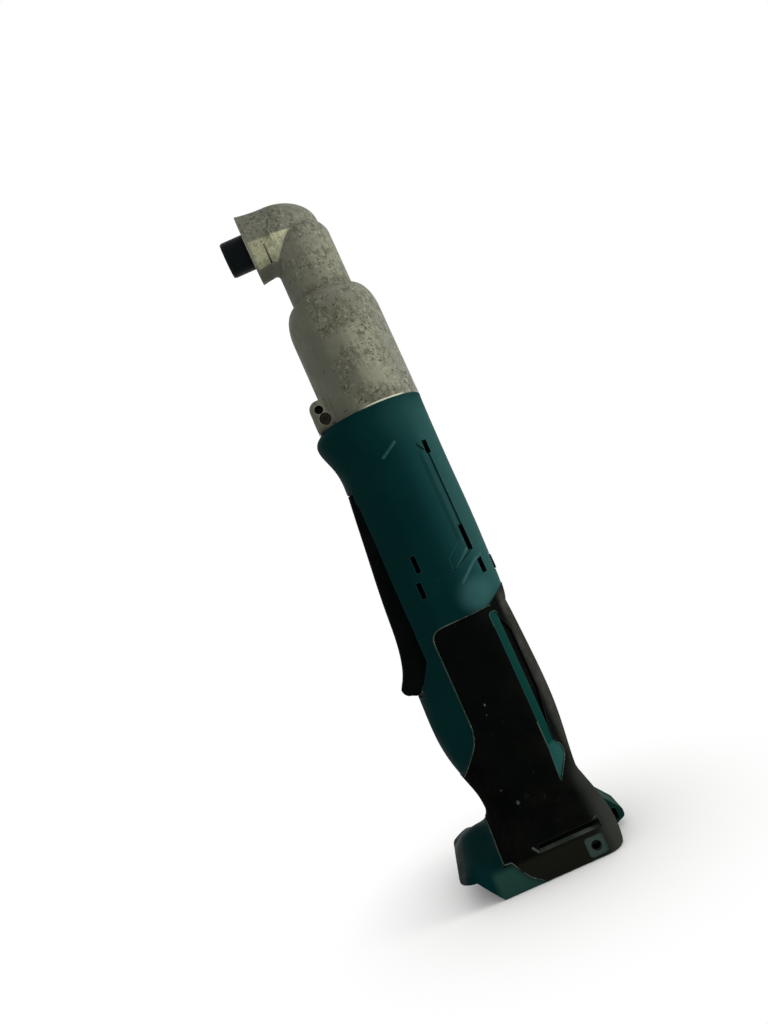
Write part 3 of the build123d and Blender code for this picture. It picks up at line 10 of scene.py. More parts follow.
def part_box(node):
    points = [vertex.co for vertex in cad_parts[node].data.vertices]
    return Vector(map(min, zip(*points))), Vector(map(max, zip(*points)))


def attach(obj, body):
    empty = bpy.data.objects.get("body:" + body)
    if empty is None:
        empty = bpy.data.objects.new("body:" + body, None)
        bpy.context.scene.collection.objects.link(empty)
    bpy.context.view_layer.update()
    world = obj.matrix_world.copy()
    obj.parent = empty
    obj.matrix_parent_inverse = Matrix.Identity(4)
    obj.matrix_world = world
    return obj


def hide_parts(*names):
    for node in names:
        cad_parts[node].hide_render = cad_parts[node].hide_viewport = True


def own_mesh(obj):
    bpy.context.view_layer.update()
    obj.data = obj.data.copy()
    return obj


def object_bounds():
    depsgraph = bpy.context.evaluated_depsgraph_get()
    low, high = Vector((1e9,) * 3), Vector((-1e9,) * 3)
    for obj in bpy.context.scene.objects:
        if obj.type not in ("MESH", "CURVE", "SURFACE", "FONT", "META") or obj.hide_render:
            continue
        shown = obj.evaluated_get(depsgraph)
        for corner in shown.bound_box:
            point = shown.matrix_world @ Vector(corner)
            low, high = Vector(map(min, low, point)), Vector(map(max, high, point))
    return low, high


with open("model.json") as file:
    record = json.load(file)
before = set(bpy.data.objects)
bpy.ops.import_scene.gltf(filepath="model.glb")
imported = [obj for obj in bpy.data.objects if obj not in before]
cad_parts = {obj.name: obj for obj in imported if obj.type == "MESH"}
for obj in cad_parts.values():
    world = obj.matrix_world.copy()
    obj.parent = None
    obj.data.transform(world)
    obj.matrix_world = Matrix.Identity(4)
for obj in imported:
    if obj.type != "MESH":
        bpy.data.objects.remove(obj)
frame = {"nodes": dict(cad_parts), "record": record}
cad_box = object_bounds()
nodes = frame["nodes"]
record = frame["record"]
slot_of = {p["node"]: p["material_slot"] for p in record["subparts"]}
body_of = {node: body for body, members in record["behaviour"]["bodies"].items() for node in members}

MM = 0.001


def feed(tree, socket, value):
    """Links a node's output to a socket, or sets the socket to a plain value."""
    if isinstance(value, bpy.types.NodeSocket):
        tree.links.new(value, socket)
    else:
        socket.default_value = value


def add_node(tree, kind, inputs, **settings):
    """Adds a shader node, its inputs linked or set to plain values."""
    node = tree.nodes.new(kind)
    for name, value in settings.items():
        setattr(node, name, value)
    for socket, value in inputs.items():
        feed(tree, node.inputs[socket], value)
    return node


class Look:
    """A material built up in layers.

    Places and sizes are in millimetres of the shared frame, where x is negative toward the bit and
    z is up. Noise is counted per metre, and colours are linear red, green and blue.
    """

    EDGE_SAMPLES = 6

    def __init__(self, name, colour, rough, metal=0.0, specular=0.5):
        self.material = bpy.data.materials.new(name)
        self.material.use_nodes = True
        self.tree = self.material.node_tree
        self.tree.nodes.clear()
        self.shader = self.node("ShaderNodeBsdfPrincipled", {})
        self.out = self.node("ShaderNodeOutputMaterial", {"Surface": self.shader.outputs[0]})
        self.place = self.node("ShaderNodeTexCoord", {}).outputs["Object"]
        self.colour = (*colour, 1.0)
        self.normal = None
        self.put("Base Color", self.colour)
        self.put("Roughness", rough)
        self.put("Metallic", metal)
        self.put("Specular IOR Level", specular)

    def node(self, kind, inputs, **settings):
        return add_node(self.tree, kind, inputs, **settings)

    def put(self, socket, value):
        """Feeds the material's shader."""
        feed(self.tree, self.shader.inputs[socket], value)

    def stretched(self, scale):
        """The object's own coordinates, scaled by a different amount along each axis."""
        return self.node("ShaderNodeMapping", {"Vector": self.place, "Scale": scale}).outputs["Vector"]

    def noise(self, scale, detail=4.0, rough=0.55, distortion=0.0, place=None):
        inputs = {"Scale": scale, "Detail": detail, "Roughness": rough, "Distortion": distortion}
        inputs["Vector"] = place or self.place
        return self.node("ShaderNodeTexNoise", inputs).outputs["Fac"]

    def cells(self, scale, place=None):
        """Distance to the nearest edge of a net of cells."""
        inputs = {"Scale": scale, "Vector": place or self.place}
        return self.node("ShaderNodeTexVoronoi", inputs, feature="DISTANCE_TO_EDGE").outputs["Distance"]

    def ramp(self, value, low, high, to_low=0.0, to_high=1.0):
        """Takes a value from low..high to to_low..to_high, with even ends."""
        inputs = {"Value": value, "From Min": low, "From Max": high, "To Min": to_low, "To Max": to_high}
        return self.node("ShaderNodeMapRange", inputs, interpolation_type="SMOOTHSTEP").outputs["Result"]

    def clouds(self, scale, low, high, **kind):
        """Patches of noise: 0 where it is below low and 1 above high."""
        return self.ramp(self.noise(scale, **kind), low, high)

    def rising(self, place, start, full):
        """0 where a place is at start and 1 at full, whichever of the two is higher."""
        if start < full:
            return self.ramp(place, start * MM, full * MM)
        return self.ramp(place, full * MM, start * MM, 1.0, 0.0)

    def past(self, letter, start, full):
        """0 at start along an axis and 1 at full."""
        place = self.node("ShaderNodeSeparateXYZ", {"Vector": self.place}).outputs[letter]
        return self.rising(place, start, full)

    def band(self, letter, start, full, full_end, end):
        """1 between full and full_end along an axis, falling to 0 at start and end."""
        return self.times(self.past(letter, start, full), self.past(letter, end, full_end))

    def within(self, limits):
        """1 inside limits, which give each axis the places that past or band takes."""
        masks = []
        for letter, places in limits.items():
            shape = self.past if len(places) == 2 else self.band
            masks.append(shape(letter, *places))
        return self.times(*masks)

    def area(self, left, right, low, high, soft):
        """1 in a rectangle of the side view, on both flanks."""
        across = (left - soft, left, right, right + soft)
        return self.within({"X": across, "Z": (low - soft, low, high, high + soft)})

    def vector(self, kind, *vectors):
        """The number that an operation on vectors gives."""
        return self.node("ShaderNodeVectorMath", dict(enumerate(vectors)), operation=kind).outputs["Value"]

    def slant(self, x, z, start, full):
        """Like past, along the direction x, z of the side view."""
        return self.rising(self.vector("DOT_PRODUCT", self.place, (x, 0.0, z)), start, full)

    def spot(self, x, z, full, end):
        """1 within full of a line across the tool at x and z, falling to 0 at end."""
        side_view = self.stretched((1.0, 0.0, 1.0))
        return self.rising(self.vector("DISTANCE", side_view, (x * MM, 0.0, z * MM)), end, full)

    def edges(self, radius, low=0.004, high=0.06):
        """1 where the surface turns sharply within the radius, 0 on even areas."""
        bevel = self.node("ShaderNodeBevel", {"Radius": radius * MM}, samples=self.EDGE_SAMPLES)
        face = self.node("ShaderNodeNewGeometry", {})
        even = self.vector("DOT_PRODUCT", bevel.outputs["Normal"], face.outputs["Normal"])
        return self.ramp(even, 1.0 - high, 1.0 - low, 1.0, 0.0)

    def times(self, product, *others):
        """The product of masks and numbers."""
        for other in others:
            product = self.node("ShaderNodeMath", {0: product, 1: other}, operation="MULTIPLY").outputs[0]
        return product

    def tint(self, mask, colour, amount=1.0):
        """Lays a colour over what is there, where the mask is 1."""
        factor = mask if amount == 1.0 else self.times(mask, amount)
        inputs = {"Factor": factor, "A": self.colour, "B": (*colour, 1.0)}
        self.colour = self.node("ShaderNodeMix", inputs, data_type="RGBA").outputs["Result"]
        self.put("Base Color", self.colour)

    def roughness(self, grain, least, most, low=0.35, high=0.7):
        """Roughness from least where the grain is low to most where it is high."""
        self.put("Roughness", self.ramp(grain, low, high, least, most))

    def bump(self, height, strength, distance):
        """Raises the surface, on top of any bump that is there."""
        inputs = {"Height": height, "Strength": strength, "Distance": distance * MM}
        if self.normal:
            inputs["Normal"] = self.normal
        self.normal = self.node("ShaderNodeBump", inputs).outputs["Normal"]
        self.put("Normal", self.normal)


# The cast case: its colours, and the places that differ in shade
ALLOY = {
    "base": (0.104, 0.107, 0.077),
    "pale": (0.138, 0.140, 0.102),
    "dull": (0.074, 0.074, 0.052),
    "brown": (0.092, 0.076, 0.047),
    "shade": (0.074, 0.077, 0.058),
    "lit_edge": (0.120, 0.123, 0.108),
    "lit_shoulder": (0.135, 0.138, 0.112),
    "groove_shade": (0.062, 0.063, 0.046),
    "lit_barrel": (0.182, 0.185, 0.135),
    "dark_spot": (0.070, 0.064, 0.046),
    "lit_dome": (0.136, 0.140, 0.116),
    "mottle": (0.050, 0.050, 0.034),
    "pale_speck": (0.215, 0.215, 0.162),
    "dark_speck": (0.030, 0.029, 0.020),
    "pit": (0.022, 0.021, 0.015),
    "nape": (0.132, 0.130, 0.100),
    "cheek": (0.285, 0.290, 0.180),
    "cheek_highlight": (0.40, 0.40, 0.27),
    "cheek_mottle": (0.16, 0.16, 0.095),
    "cheek_speck": (0.09, 0.09, 0.05),
    "edge": (0.30, 0.30, 0.235),
    "rim_highlight": (0.62, 0.66, 0.52),
    "ear": (0.165, 0.168, 0.115),
    "hole": (0.012, 0.010, 0.006),
}
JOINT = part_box("housing_left")[1].z / MM
CASE_FRONT = {"X": (-7.0, -12.5), "Z": (304, 296)}
CASE_EDGE = {"X": (13.0, 20.0), "Z": (272, 262)}
CASE_BARREL = (3.0, 11.0, 221, 250, 5.0)
CASE_DARK_SPOT = (0.5, 257.0, 2.0, 8.5)
CASE_RIM_HIGHLIGHT = {"Z": (JOINT - 0.2, JOINT - 0.1, JOINT + 0.65, JOINT + 0.8), "X": (-10, -2, 12, 16)}
SHOULDER = {"Z": (263, 268, 273.5, 275), "X": (-12, -4)}
NECK_ROOT = {"Z": (274.4, 275.2, 276.0, 279.0)}
DOME = {"Z": (296, 303)}
NAPE = (-5.2, 298.5, 3.0, 8.0)
CHEEK_TOP = (0.0826, 1.0, 308.5, 307.7)
CHEEK_RIGHT = (0.693, -0.721, -223.4, -224.8)
CHEEK_FOOT = (0.422, -0.906, -273.6, -277.6)
CHEEK_FACE = (-23.4, -21.6)
CHEEK_FLANK = (-8, -9)
CHEEK_HIGHLIGHT = {"X": (-16, -10)}
EAR = {"X": (-20.4, -21.0), "Z": (231, 230)}
EAR_FACE = {"X": (-24.4, -22.4)}
EAR_SIDES = {"Y": (-13.4, -13.2, 13.2, 13.4)}
EAR_HOLE = (-23.8, JOINT + 10.1, 2.2, 2.3)
EAR_SCREW = (-22.6, JOINT + 5.1, 3.0, 3.1)


def case_light(look, front):
    """Where the photograph shows the case in shade or in stronger light."""
    look.tint(front, ALLOY["shade"], 0.65)
    look.tint(look.within(CASE_EDGE), ALLOY["lit_edge"], 0.6)
    look.tint(look.within(SHOULDER), ALLOY["lit_shoulder"], 0.55)
    # Painted shade: a darker band in the crease at the root of the neck.
    look.tint(look.within(NECK_ROOT), ALLOY["groove_shade"], 0.55)
    look.tint(look.area(*CASE_BARREL), ALLOY["lit_barrel"], 0.55)
    # A darker spot on the case.
    look.tint(look.spot(*CASE_DARK_SPOT), ALLOY["dark_spot"], 0.6)
    look.tint(look.within(DOME), ALLOY["lit_dome"], 0.4)


def case_mottle(look, front):
    """Dark and pale specks in patches, few in front. Gives the two patterns that the cheek shares."""
    flank = look.ramp(front, 0.0, 1.0, 1.0, 0.12)
    patches = look.times(look.clouds(60, 0.34, 0.52, detail=5, rough=0.6), flank)
    mottle = look.noise(430, detail=5, rough=0.65, place=look.stretched((1.0, 1.0, 0.6)))
    look.tint(look.times(look.ramp(mottle, 0.49, 0.58), patches), ALLOY["mottle"], 0.6)
    pale = look.clouds(610, 0.55, 0.64, rough=0.6, distortion=0.5)
    look.tint(look.times(pale, patches), ALLOY["pale_speck"], 0.6)
    specks = look.clouds(880, 0.555, 0.62, rough=0.62, distortion=0.6)
    look.tint(look.times(specks, patches), ALLOY["dark_speck"], 0.85)
    look.tint(look.clouds(330, 0.665, 0.70, detail=3, rough=0.6), ALLOY["pit"], 0.8)
    return mottle, specks


def case_cheek(look, mottle, specks):
    """The flat cheek on the left of the head in a painted highlight, bounded by three slanting edges and the
    head's face.
    """
    slants = [look.slant(*edge) for edge in (CHEEK_TOP, CHEEK_RIGHT, CHEEK_FOOT)]
    cheek = look.times(*slants, look.past("X", *CHEEK_FACE), look.past("Y", *CHEEK_FLANK))
    look.tint(look.spot(*NAPE), ALLOY["nape"], 0.6)
    # Painted highlight over the cheek, on the left flank only, strongest toward its back.
    look.tint(cheek, ALLOY["cheek"], 0.75)
    look.tint(look.times(cheek, look.within(CHEEK_HIGHLIGHT)), ALLOY["cheek_highlight"], 0.6)
    look.tint(look.times(cheek, look.ramp(mottle, 0.52, 0.62)), ALLOY["cheek_mottle"], 0.7)
    look.tint(look.times(cheek, specks), ALLOY["cheek_speck"], 0.7)


def case_ear(look):
    """The ear on the case's front: part of its side in a painted highlight, and painted shade inside its
    blind hole and its screw's hole.
    """
    ear = look.within(EAR)
    # Painted highlight on the ear's side next to the case.
    look.tint(look.times(ear, look.within(EAR_FACE)), ALLOY["ear"], 0.6)
    inside = look.times(look.within(EAR_SIDES), ear)
    # Painted shade inside the two holes.
    for hole in (EAR_HOLE, EAR_SCREW):
        look.tint(look.times(inside, look.spot(*hole)), ALLOY["hole"], 0.95)


def cast_alloy():
    """The cast case: grey-green, cloudy and mottled, with a painted highlight along a line above the joint.
    """
    look = Look("cast_alloy", ALLOY["base"], 0.6, metal=0.12, specular=0.10)
    look.tint(look.clouds(42, 0.42, 0.66, detail=5), ALLOY["pale"])
    look.tint(look.clouds(24, 0.50, 0.72, detail=3), ALLOY["dull"], 0.6)
    look.tint(look.clouds(17, 0.55, 0.72), ALLOY["brown"], 0.5)
    front = look.within(CASE_FRONT)
    case_light(look, front)
    mottle, specks = case_mottle(look, front)
    case_cheek(look, mottle, specks)
    look.tint(look.edges(0.6), ALLOY["edge"], 0.5)
    # A painted highlight along the case's lower edge just above the joint, from the middle to the back.
    look.tint(look.within(CASE_RIM_HIGHLIGHT), ALLOY["rim_highlight"], 0.95)
    case_ear(look)
    look.roughness(look.noise(120), 0.52, 0.72)
    look.bump(look.noise(1500, detail=3), 0.25, 0.2)
    look.bump(mottle, 0.2, 0.5)
    return look.material


# The teal halves: their colours, and the places that differ in shade
TEAL = {
    "base": (0.0007, 0.0132, 0.0134),
    "cloud": (0.0012, 0.0170, 0.0168),
    "dust": (0.005, 0.022, 0.021),
    "lit": (0.0042, 0.0290, 0.0285),
    "bright": (0.012, 0.044, 0.042),
    "lit_heel": (0.017, 0.058, 0.057),
    "lit_collar": (0.006, 0.030, 0.028),
    "stripe": (0.0016, 0.0240, 0.0195),
    "leaf": (0.0085, 0.0430, 0.0400),
    "worn_toe": (0.024, 0.028, 0.025),
    "lit_foot": (0.013, 0.040, 0.032),
    "hook_pad": (0.030, 0.046, 0.039),
    "foot_back": (0.004, 0.021, 0.014),
    "scuff": (0.003, 0.018, 0.018),
    "edge": (0.018, 0.068, 0.064),
    "channel": (0.0012, 0.0150, 0.0145),
}
BARREL = (110, 120, 203, 216)
BARREL_LIT = {"X": (-6, 10), "Z": BARREL}
BARREL_BRIGHT = {"X": (8, 19), "Z": BARREL}
BARREL_HEEL = (7.0, 118.5, 3.0, 11.0)
BARREL_COLLAR = (8.0, 206.0, 3.0, 16.0)
CHANNEL = {"X": (8.6, 9.4, 10.2, 11.2), "Z": (140, 146, 184, 189)}
STRIPE = (7.0, 14.6, 29.0, 110.0, 0.6)
STRIPE_LEAF = (7.0, 14.6, 28.0, 46.0, 1.5)
TOE_FRONT = (0.93, -0.367, -47.2, -48.6)
TOE_TOP = (25, 21)
FOOT_LIT = (-34.0, 0.0, -2.0, 9.5, 3.5)
HOOK_PAD = (4.6, 12.8, -1.0, 9.8, 0.5)
FOOT_BACK = (20.8, 28.0, -1.0, 20.0, 0.5)


def foot_shades(look):
    """The foot's own shades: worn toe, lit front, square pad of the hook's insert, back."""
    toe = look.times(look.slant(*TOE_FRONT), look.past("Z", *TOE_TOP))
    wear = look.ramp(look.noise(120, detail=6, rough=0.7), 0.34, 0.60, 0.5, 1.0)
    look.tint(look.times(toe, wear), TEAL["worn_toe"], 0.9)
    look.tint(look.area(*FOOT_LIT), TEAL["lit_foot"], 0.85)
    look.tint(look.area(*HOOK_PAD), TEAL["hook_pad"], 0.9)
    look.tint(look.area(*FOOT_BACK), TEAL["foot_back"], 0.9)


def teal_plastic():
    """The two housing halves, in stronger light on the right of the barrel."""
    look = Look("teal_plastic", TEAL["base"], 0.55, specular=0.008)
    look.tint(look.clouds(26, 0.45, 0.75, detail=5), TEAL["cloud"], 0.6)
    look.tint(look.clouds(170, 0.60, 0.74, detail=6, rough=0.7), TEAL["dust"], 0.35)
    look.tint(look.within(BARREL_LIT), TEAL["lit"], 0.75)
    look.tint(look.within(BARREL_BRIGHT), TEAL["bright"], 0.75)
    look.tint(look.spot(*BARREL_HEEL), TEAL["lit_heel"], 0.85)
    look.tint(look.spot(*BARREL_COLLAR), TEAL["lit_collar"], 0.6)
    look.tint(look.area(*STRIPE), TEAL["stripe"], 0.9)
    look.tint(look.area(*STRIPE_LEAF), TEAL["leaf"], 0.9)
    foot_shades(look)
    look.tint(look.times(look.cells(48), look.noise(70)), TEAL["scuff"], 0.3)
    # Paler teal on sharp edges: a painted edge highlight.
    look.tint(look.edges(0.5), TEAL["edge"], 0.45)
    # Painted shade along the sunk strip at the panel's edge.
    look.tint(look.within(CHANNEL), TEAL["channel"], 0.75)
    look.roughness(look.noise(90, detail=5), 0.45, 0.62)
    look.bump(look.noise(2600, detail=2), 0.12, 0.1)
    return look.material


# The grips: their colours, the places that differ in shade, and the pale marks
RUBBER = {
    "base": (0.0014, 0.0019, 0.0017),
    "cloud": (0.0026, 0.0031, 0.0026),
    "dust": (0.0042, 0.0042, 0.0030),
    "dab": (0.022, 0.022, 0.016),
    "scratch": (0.016, 0.016, 0.013),
    "lit_back": (0.017, 0.018, 0.015),
    "dusty_back": (0.030, 0.031, 0.027),
    "hem": (0.0074, 0.0080, 0.0054),
    "lit_foot": (0.021, 0.023, 0.020),
    "mark": (0.11, 0.115, 0.095),
    "edge": (0.018, 0.020, 0.017),
}
GRIP_LOW = {"Z": (85, 45)}
GRIP_BACK = {"X": (13.8, 17.0), "Z": (28, 45, 112, 119)}
GRIP_HEM = {"Z": (12.5, 10.0)}
GRIP_FOOT = {"X": (9.5, 17.0), "Z": (40, 24)}
GRIP_MARKS = ((-18.3, 37.1, 0.35), (-13.7, 29.7, 0.5), (-9.7, 73.5, 0.35), (-10.7, 69.4, 0.3))
MARK_CORE = 0.3
MARK_REACH = 2.4


def grip_rubber():
    """The moulded grips: dusty low down, lit at the back, with a few pale marks."""
    look = Look("grip_rubber", RUBBER["base"], 0.8, specular=0.004)
    look.tint(look.clouds(45, 0.44, 0.70, detail=6, rough=0.65), RUBBER["cloud"], 0.8)
    low = look.within(GRIP_LOW)
    dust = look.clouds(70, 0.46, 0.68, detail=5, rough=0.6)
    look.tint(look.times(low, dust), RUBBER["dust"], 0.5)
    dabs = look.clouds(230, 0.625, 0.70, detail=6, rough=0.75, distortion=0.8)
    look.tint(look.times(dabs, low), RUBBER["dab"], 0.7)
    net = look.cells(60, place=look.stretched((1.0, 1.0, 0.28)))
    scratches = look.ramp(net, 0.0, 0.014, 1.0, 0.0)
    look.tint(look.times(scratches, look.clouds(30, 0.54, 0.66)), RUBBER["scratch"], 0.5)
    back = look.within(GRIP_BACK)
    look.tint(back, RUBBER["lit_back"], 0.85)
    back_dust = look.clouds(90, 0.45, 0.65, detail=6, rough=0.7)
    look.tint(look.times(back, back_dust), RUBBER["dusty_back"], 0.6)
    look.tint(look.within(GRIP_HEM), RUBBER["hem"], 0.85)
    look.tint(look.within(GRIP_FOOT), RUBBER["lit_foot"], 0.75)
    broken = look.clouds(1100, 0.47, 0.56, detail=3, rough=0.7)
    for x, z, radius in GRIP_MARKS:
        mark = look.spot(x, z, radius * MARK_CORE, radius * MARK_REACH)
        look.tint(look.times(mark, broken), RUBBER["mark"], 0.7)
    look.tint(look.edges(0.5, 0.02, 0.12), RUBBER["edge"], 0.5)
    look.roughness(look.noise(110, detail=5), 0.7, 0.9)
    look.bump(look.noise(1400, detail=3), 0.30, 0.25)
    look.bump(look.noise(260, detail=3), 0.08, 0.5)
    return look.material


# Black plastic and black steel
BLACK_PLASTIC = {
    "base": (0.0013, 0.0018, 0.0018),
    "cloud": (0.0030, 0.0036, 0.0035),
    "dust": (0.012, 0.013, 0.012),
    "edge": (0.012, 0.015, 0.014),
}
BLACK_STEEL = {
    "base": (0.0034, 0.0058, 0.0058),
    "cloud": (0.006, 0.009, 0.009),
    "mark": (0.016, 0.018, 0.017),
    "rust": (0.022, 0.017, 0.009),
    "edge": (0.042, 0.044, 0.040),
}
EAR_SCREWS = {"X": (-17.0, -18.0), "Z": (213, 214, 230, 231)}


def black_plastic():
    """The paddle and the other black moulded pieces."""
    look = Look("black_plastic", BLACK_PLASTIC["base"], 0.6, specular=0.008)
    look.tint(look.clouds(60, 0.46, 0.72, detail=6, rough=0.65), BLACK_PLASTIC["cloud"], 0.7)
    look.tint(look.clouds(300, 0.64, 0.70, detail=5, rough=0.75), BLACK_PLASTIC["dust"], 0.5)
    look.tint(look.edges(0.5, 0.01, 0.1), BLACK_PLASTIC["edge"], 0.5)
    look.roughness(look.noise(150), 0.5, 0.68)
    look.bump(look.noise(2400, detail=2), 0.14, 0.1)
    return look.material


def black_steel():
    """Blackened steel, with a film of rust on the ear's screws."""
    look = Look("black_steel", BLACK_STEEL["base"], 0.45, metal=0.2, specular=0.03)
    look.tint(look.clouds(70, 0.44, 0.72, detail=6, rough=0.6), BLACK_STEEL["cloud"], 0.7)
    marks = look.noise(420, rough=0.6)
    look.tint(look.ramp(marks, 0.58, 0.72), BLACK_STEEL["mark"], 0.4)
    look.tint(look.within(EAR_SCREWS), BLACK_STEEL["rust"], 0.75)
    look.tint(look.edges(0.4), BLACK_STEEL["edge"], 0.5)
    look.roughness(marks, 0.38, 0.55, low=0.3)
    look.bump(marks, 0.10, 0.1)
    return look.material


# Worked metals and plain moulded pieces. Tool marks run round the motor's axis or along it
EVEN = (1, 1, 1)
TURNED = (1, 1, 6)
DRAWN = (6, 6, 1)


def metal(name, colour, rough, worn, dark, marked=EVEN):
    """A worked metal: darker cloudy patches, fine tool marks, bright worn edges."""
    look = Look(name, colour, rough, metal=1.0)
    look.tint(look.clouds(70, 0.44, 0.72, detail=6, rough=0.6), dark, 0.7)
    marks = look.noise(420, rough=0.6, place=look.stretched(marked))
    look.tint(look.ramp(marks, 0.55, 0.75), worn, 0.4)
    look.tint(look.edges(0.4), worn, 0.7)
    look.roughness(marks, rough - 0.1, rough + 0.12, low=0.3)
    look.bump(marks, 0.10, 0.1)
    return look.material


def moulded(name, colour, rough, light):
    """A plain sintered or moulded piece: mottled, with paler edges."""
    look = Look(name, colour, rough, specular=0.3)
    look.tint(look.clouds(120, 0.45, 0.72, detail=6, rough=0.65), light, 0.6)
    look.tint(look.edges(0.4), light, 0.5)
    look.roughness(look.noise(240), rough - 0.1, rough + 0.1)
    look.bump(look.noise(1800, detail=2), 0.15, 0.1)
    return look.material


# The lens and the thin trim
LENS = (0.86, 0.88, 0.86)
LIP = {"base": (0.010, 0.027, 0.022), "pale_patches": (0.042, 0.056, 0.044), "palest_specks": (0.115, 0.120, 0.090)}
LEDGE = {"base": (0.020, 0.026, 0.022), "pale_patches": (0.052, 0.062, 0.050)}
RIDGE = {"base": (0.010, 0.042, 0.040), "cloud": (0.018, 0.056, 0.053)}


def clear_lens():
    """The lamp's lens, a little hazed."""
    look = Look("clear_lens", LENS, 0.12)
    look.put("Transmission Weight", 0.85)
    look.put("IOR", 1.49)
    look.roughness(look.noise(350), 0.08, 0.25, low=0.4, high=0.75)
    look.bump(look.noise(900, detail=2), 0.05, 0.1)
    return look.material


def pale_lip():
    """The thin edge of teal plastic beside the rubber, pale in places."""
    look = Look("pale_lip", LIP["base"], 0.55, specular=0.02)
    look.tint(look.clouds(60, 0.42, 0.62, detail=5, rough=0.6), LIP["pale_patches"])
    look.tint(look.clouds(420, 0.56, 0.66, rough=0.6), LIP["palest_specks"], 0.6)
    look.roughness(look.noise(200), 0.45, 0.65)
    look.bump(look.noise(1600, detail=2), 0.15, 0.1)
    return look.material


def slot_ledge():
    """The sloping lower side of the hook slot, grey with paler patches."""
    look = Look("slot_ledge", LEDGE["base"], 0.7, specular=0.02)
    look.tint(look.clouds(90, 0.42, 0.64, detail=5, rough=0.65), LEDGE["pale_patches"], 0.8)
    look.roughness(look.noise(150, detail=5), 0.6, 0.8)
    look.bump(look.noise(1400, detail=3), 0.25, 0.2)
    return look.material


def teal_ridge():
    """The raised lines of the teal panel, in a lighter teal: a painted highlight, as they catch more light
    than the flank.
    """
    look = Look("teal_ridge", RIDGE["base"], 0.5, specular=0.03)
    look.tint(look.clouds(120, 0.45, 0.65, detail=5, rough=0.6), RIDGE["cloud"])
    look.roughness(look.noise(90, detail=5), 0.42, 0.6)
    look.bump(look.noise(2600, detail=2), 0.12, 0.1)
    return look.material


# The looks by material slot, then those of two single nodes and of the trim made here
looks = {
    "cast_alloy": cast_alloy(),
    "teal_plastic": teal_plastic(),
    "grip_rubber": grip_rubber(),
    "black_plastic": black_plastic(),
    "black_steel": black_steel(),
    "steel": metal("steel", (0.50, 0.49, 0.47), 0.3, (0.68, 0.67, 0.65), (0.33, 0.32, 0.30), TURNED),
    "spring_steel": metal("spring_steel", (0.36, 0.36, 0.37), 0.28, (0.6, 0.6, 0.6), (0.24, 0.24, 0.25)),
    "die_cast": metal("die_cast", (0.33, 0.33, 0.34), 0.45, (0.5, 0.5, 0.5), (0.2, 0.2, 0.2)),
    "zinc_steel": metal("zinc_steel", (0.40, 0.37, 0.30), 0.33, (0.62, 0.6, 0.52), (0.2, 0.17, 0.12)),
    "bronze": metal("bronze", (0.42, 0.25, 0.10), 0.42, (0.6, 0.4, 0.2), (0.27, 0.15, 0.06)),
    "copper": metal("copper", (0.56, 0.22, 0.10), 0.33, (0.72, 0.36, 0.2), (0.4, 0.13, 0.05), DRAWN),
    "tinned_brass": metal("tinned_brass", (0.60, 0.57, 0.47), 0.28, (0.75, 0.73, 0.66), (0.45, 0.38, 0.22)),
    "ferrite": moulded("ferrite", (0.035, 0.035, 0.037), 0.6, (0.07, 0.07, 0.072)),
    "carbon": moulded("carbon", (0.02, 0.02, 0.021), 0.5, (0.06, 0.06, 0.06)),
    "clear_lens": clear_lens(),
    "lamp_board": moulded("lamp_board", (0.55, 0.53, 0.30), 0.4, (0.75, 0.72, 0.5)),
    "head_ring": metal("oiled_steel", (0.20, 0.195, 0.18), 0.4, (0.36, 0.35, 0.32), (0.10, 0.095, 0.085)),
    "hook_nuts": metal("dulled_steel", (0.032, 0.036, 0.033), 0.5, (0.1, 0.105, 0.09), (0.012, 0.013, 0.012)),
    "lip": pale_lip(),
    "ridge": teal_ridge(),
    "ledge": slot_ledge(),
}

SMOOTH_ANGLE = math.radians(32)


def soften(data):
    """Smooth shading, with sharp edges where the surface turns."""
    data.shade_smooth()
    data.set_sharp_from_angle(angle=SMOOTH_ANGLE)


for name, obj in nodes.items():
    obj.data.materials.clear()
    obj.data.materials.append(looks.get(name) or looks[slot_of[name]])
    soften(obj.data)


def placed(name, data):
    """A new object in the scene."""
    obj = bpy.data.objects.new(name, data)
    bpy.context.scene.collection.objects.link(obj)
    return obj


def stand_in(name, data, node):
    """Shows a node of the CAD model by another mesh, on the node's own body."""
    obj = placed(name, data)
    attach(obj, body_of[node])
    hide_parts(node)
    return obj


# The toe as the photograph has it, in millimetres: how far its ridge, flanks and throat drop,
# and between which places the drop sets in and ends
RIDGE_DROP = 1.2
FLANK_DROP = 6.4
FLANK_HALF = 22.0
THROAT_DROP = 2.0
THROAT = (-38.0, -31.0)
NOSE_SHARE = 0.26
NOSE = (37.0, 42.0, 43.0, 49.0)
TOE_HEIGHTS = (11.0, 21.0, 26.0, 36.0)
TOE_REACH = (-21.0, -31.0)
TOE_MARGIN = 0.5
TOE_CUT = -32.0

# The toe's screw, shortened toward its tip so that it lies under the lower toe
SCREW_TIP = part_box("housing_screws")[0].y / MM
SCREW_SHARE = 0.55
SCREW_DROP = 1.0
SCREW_BACK = -30.0
SCREW_TOP = 30.0

# The paddle's lower end as the photograph has it: its front edge goes up and in
PADDLE_RISE = 2.4
PADDLE_TUCK = 0.8
PADDLE_EDGE = (-34.0, -38.5)
PADDLE_END = (87.0, 106.0)
PADDLE_MARGIN = 2.0

# How finely a mesh is split where its points move
EDGE_LENGTH = 2.5
EDGE_SPLITS = 3


def smooth(value, start, full):
    """0 at start and 1 at full, with even ends."""
    t = max(0.0, min(1.0, (value - start) / (full - start)))
    return t * t * (3 - 2 * t)


def hump(value, start, full, full_end, end):
    """1 between full and full_end, falling to 0 at start and end."""
    return smooth(value, start, full) * (1 - smooth(value, full_end, end))


def near_toe(q):
    """Whether a point is where the toe changes."""
    back, top = TOE_REACH[0] + TOE_MARGIN, TOE_HEIGHTS[-1] + TOE_MARGIN
    return q.x < back * MM and q.z < top * MM


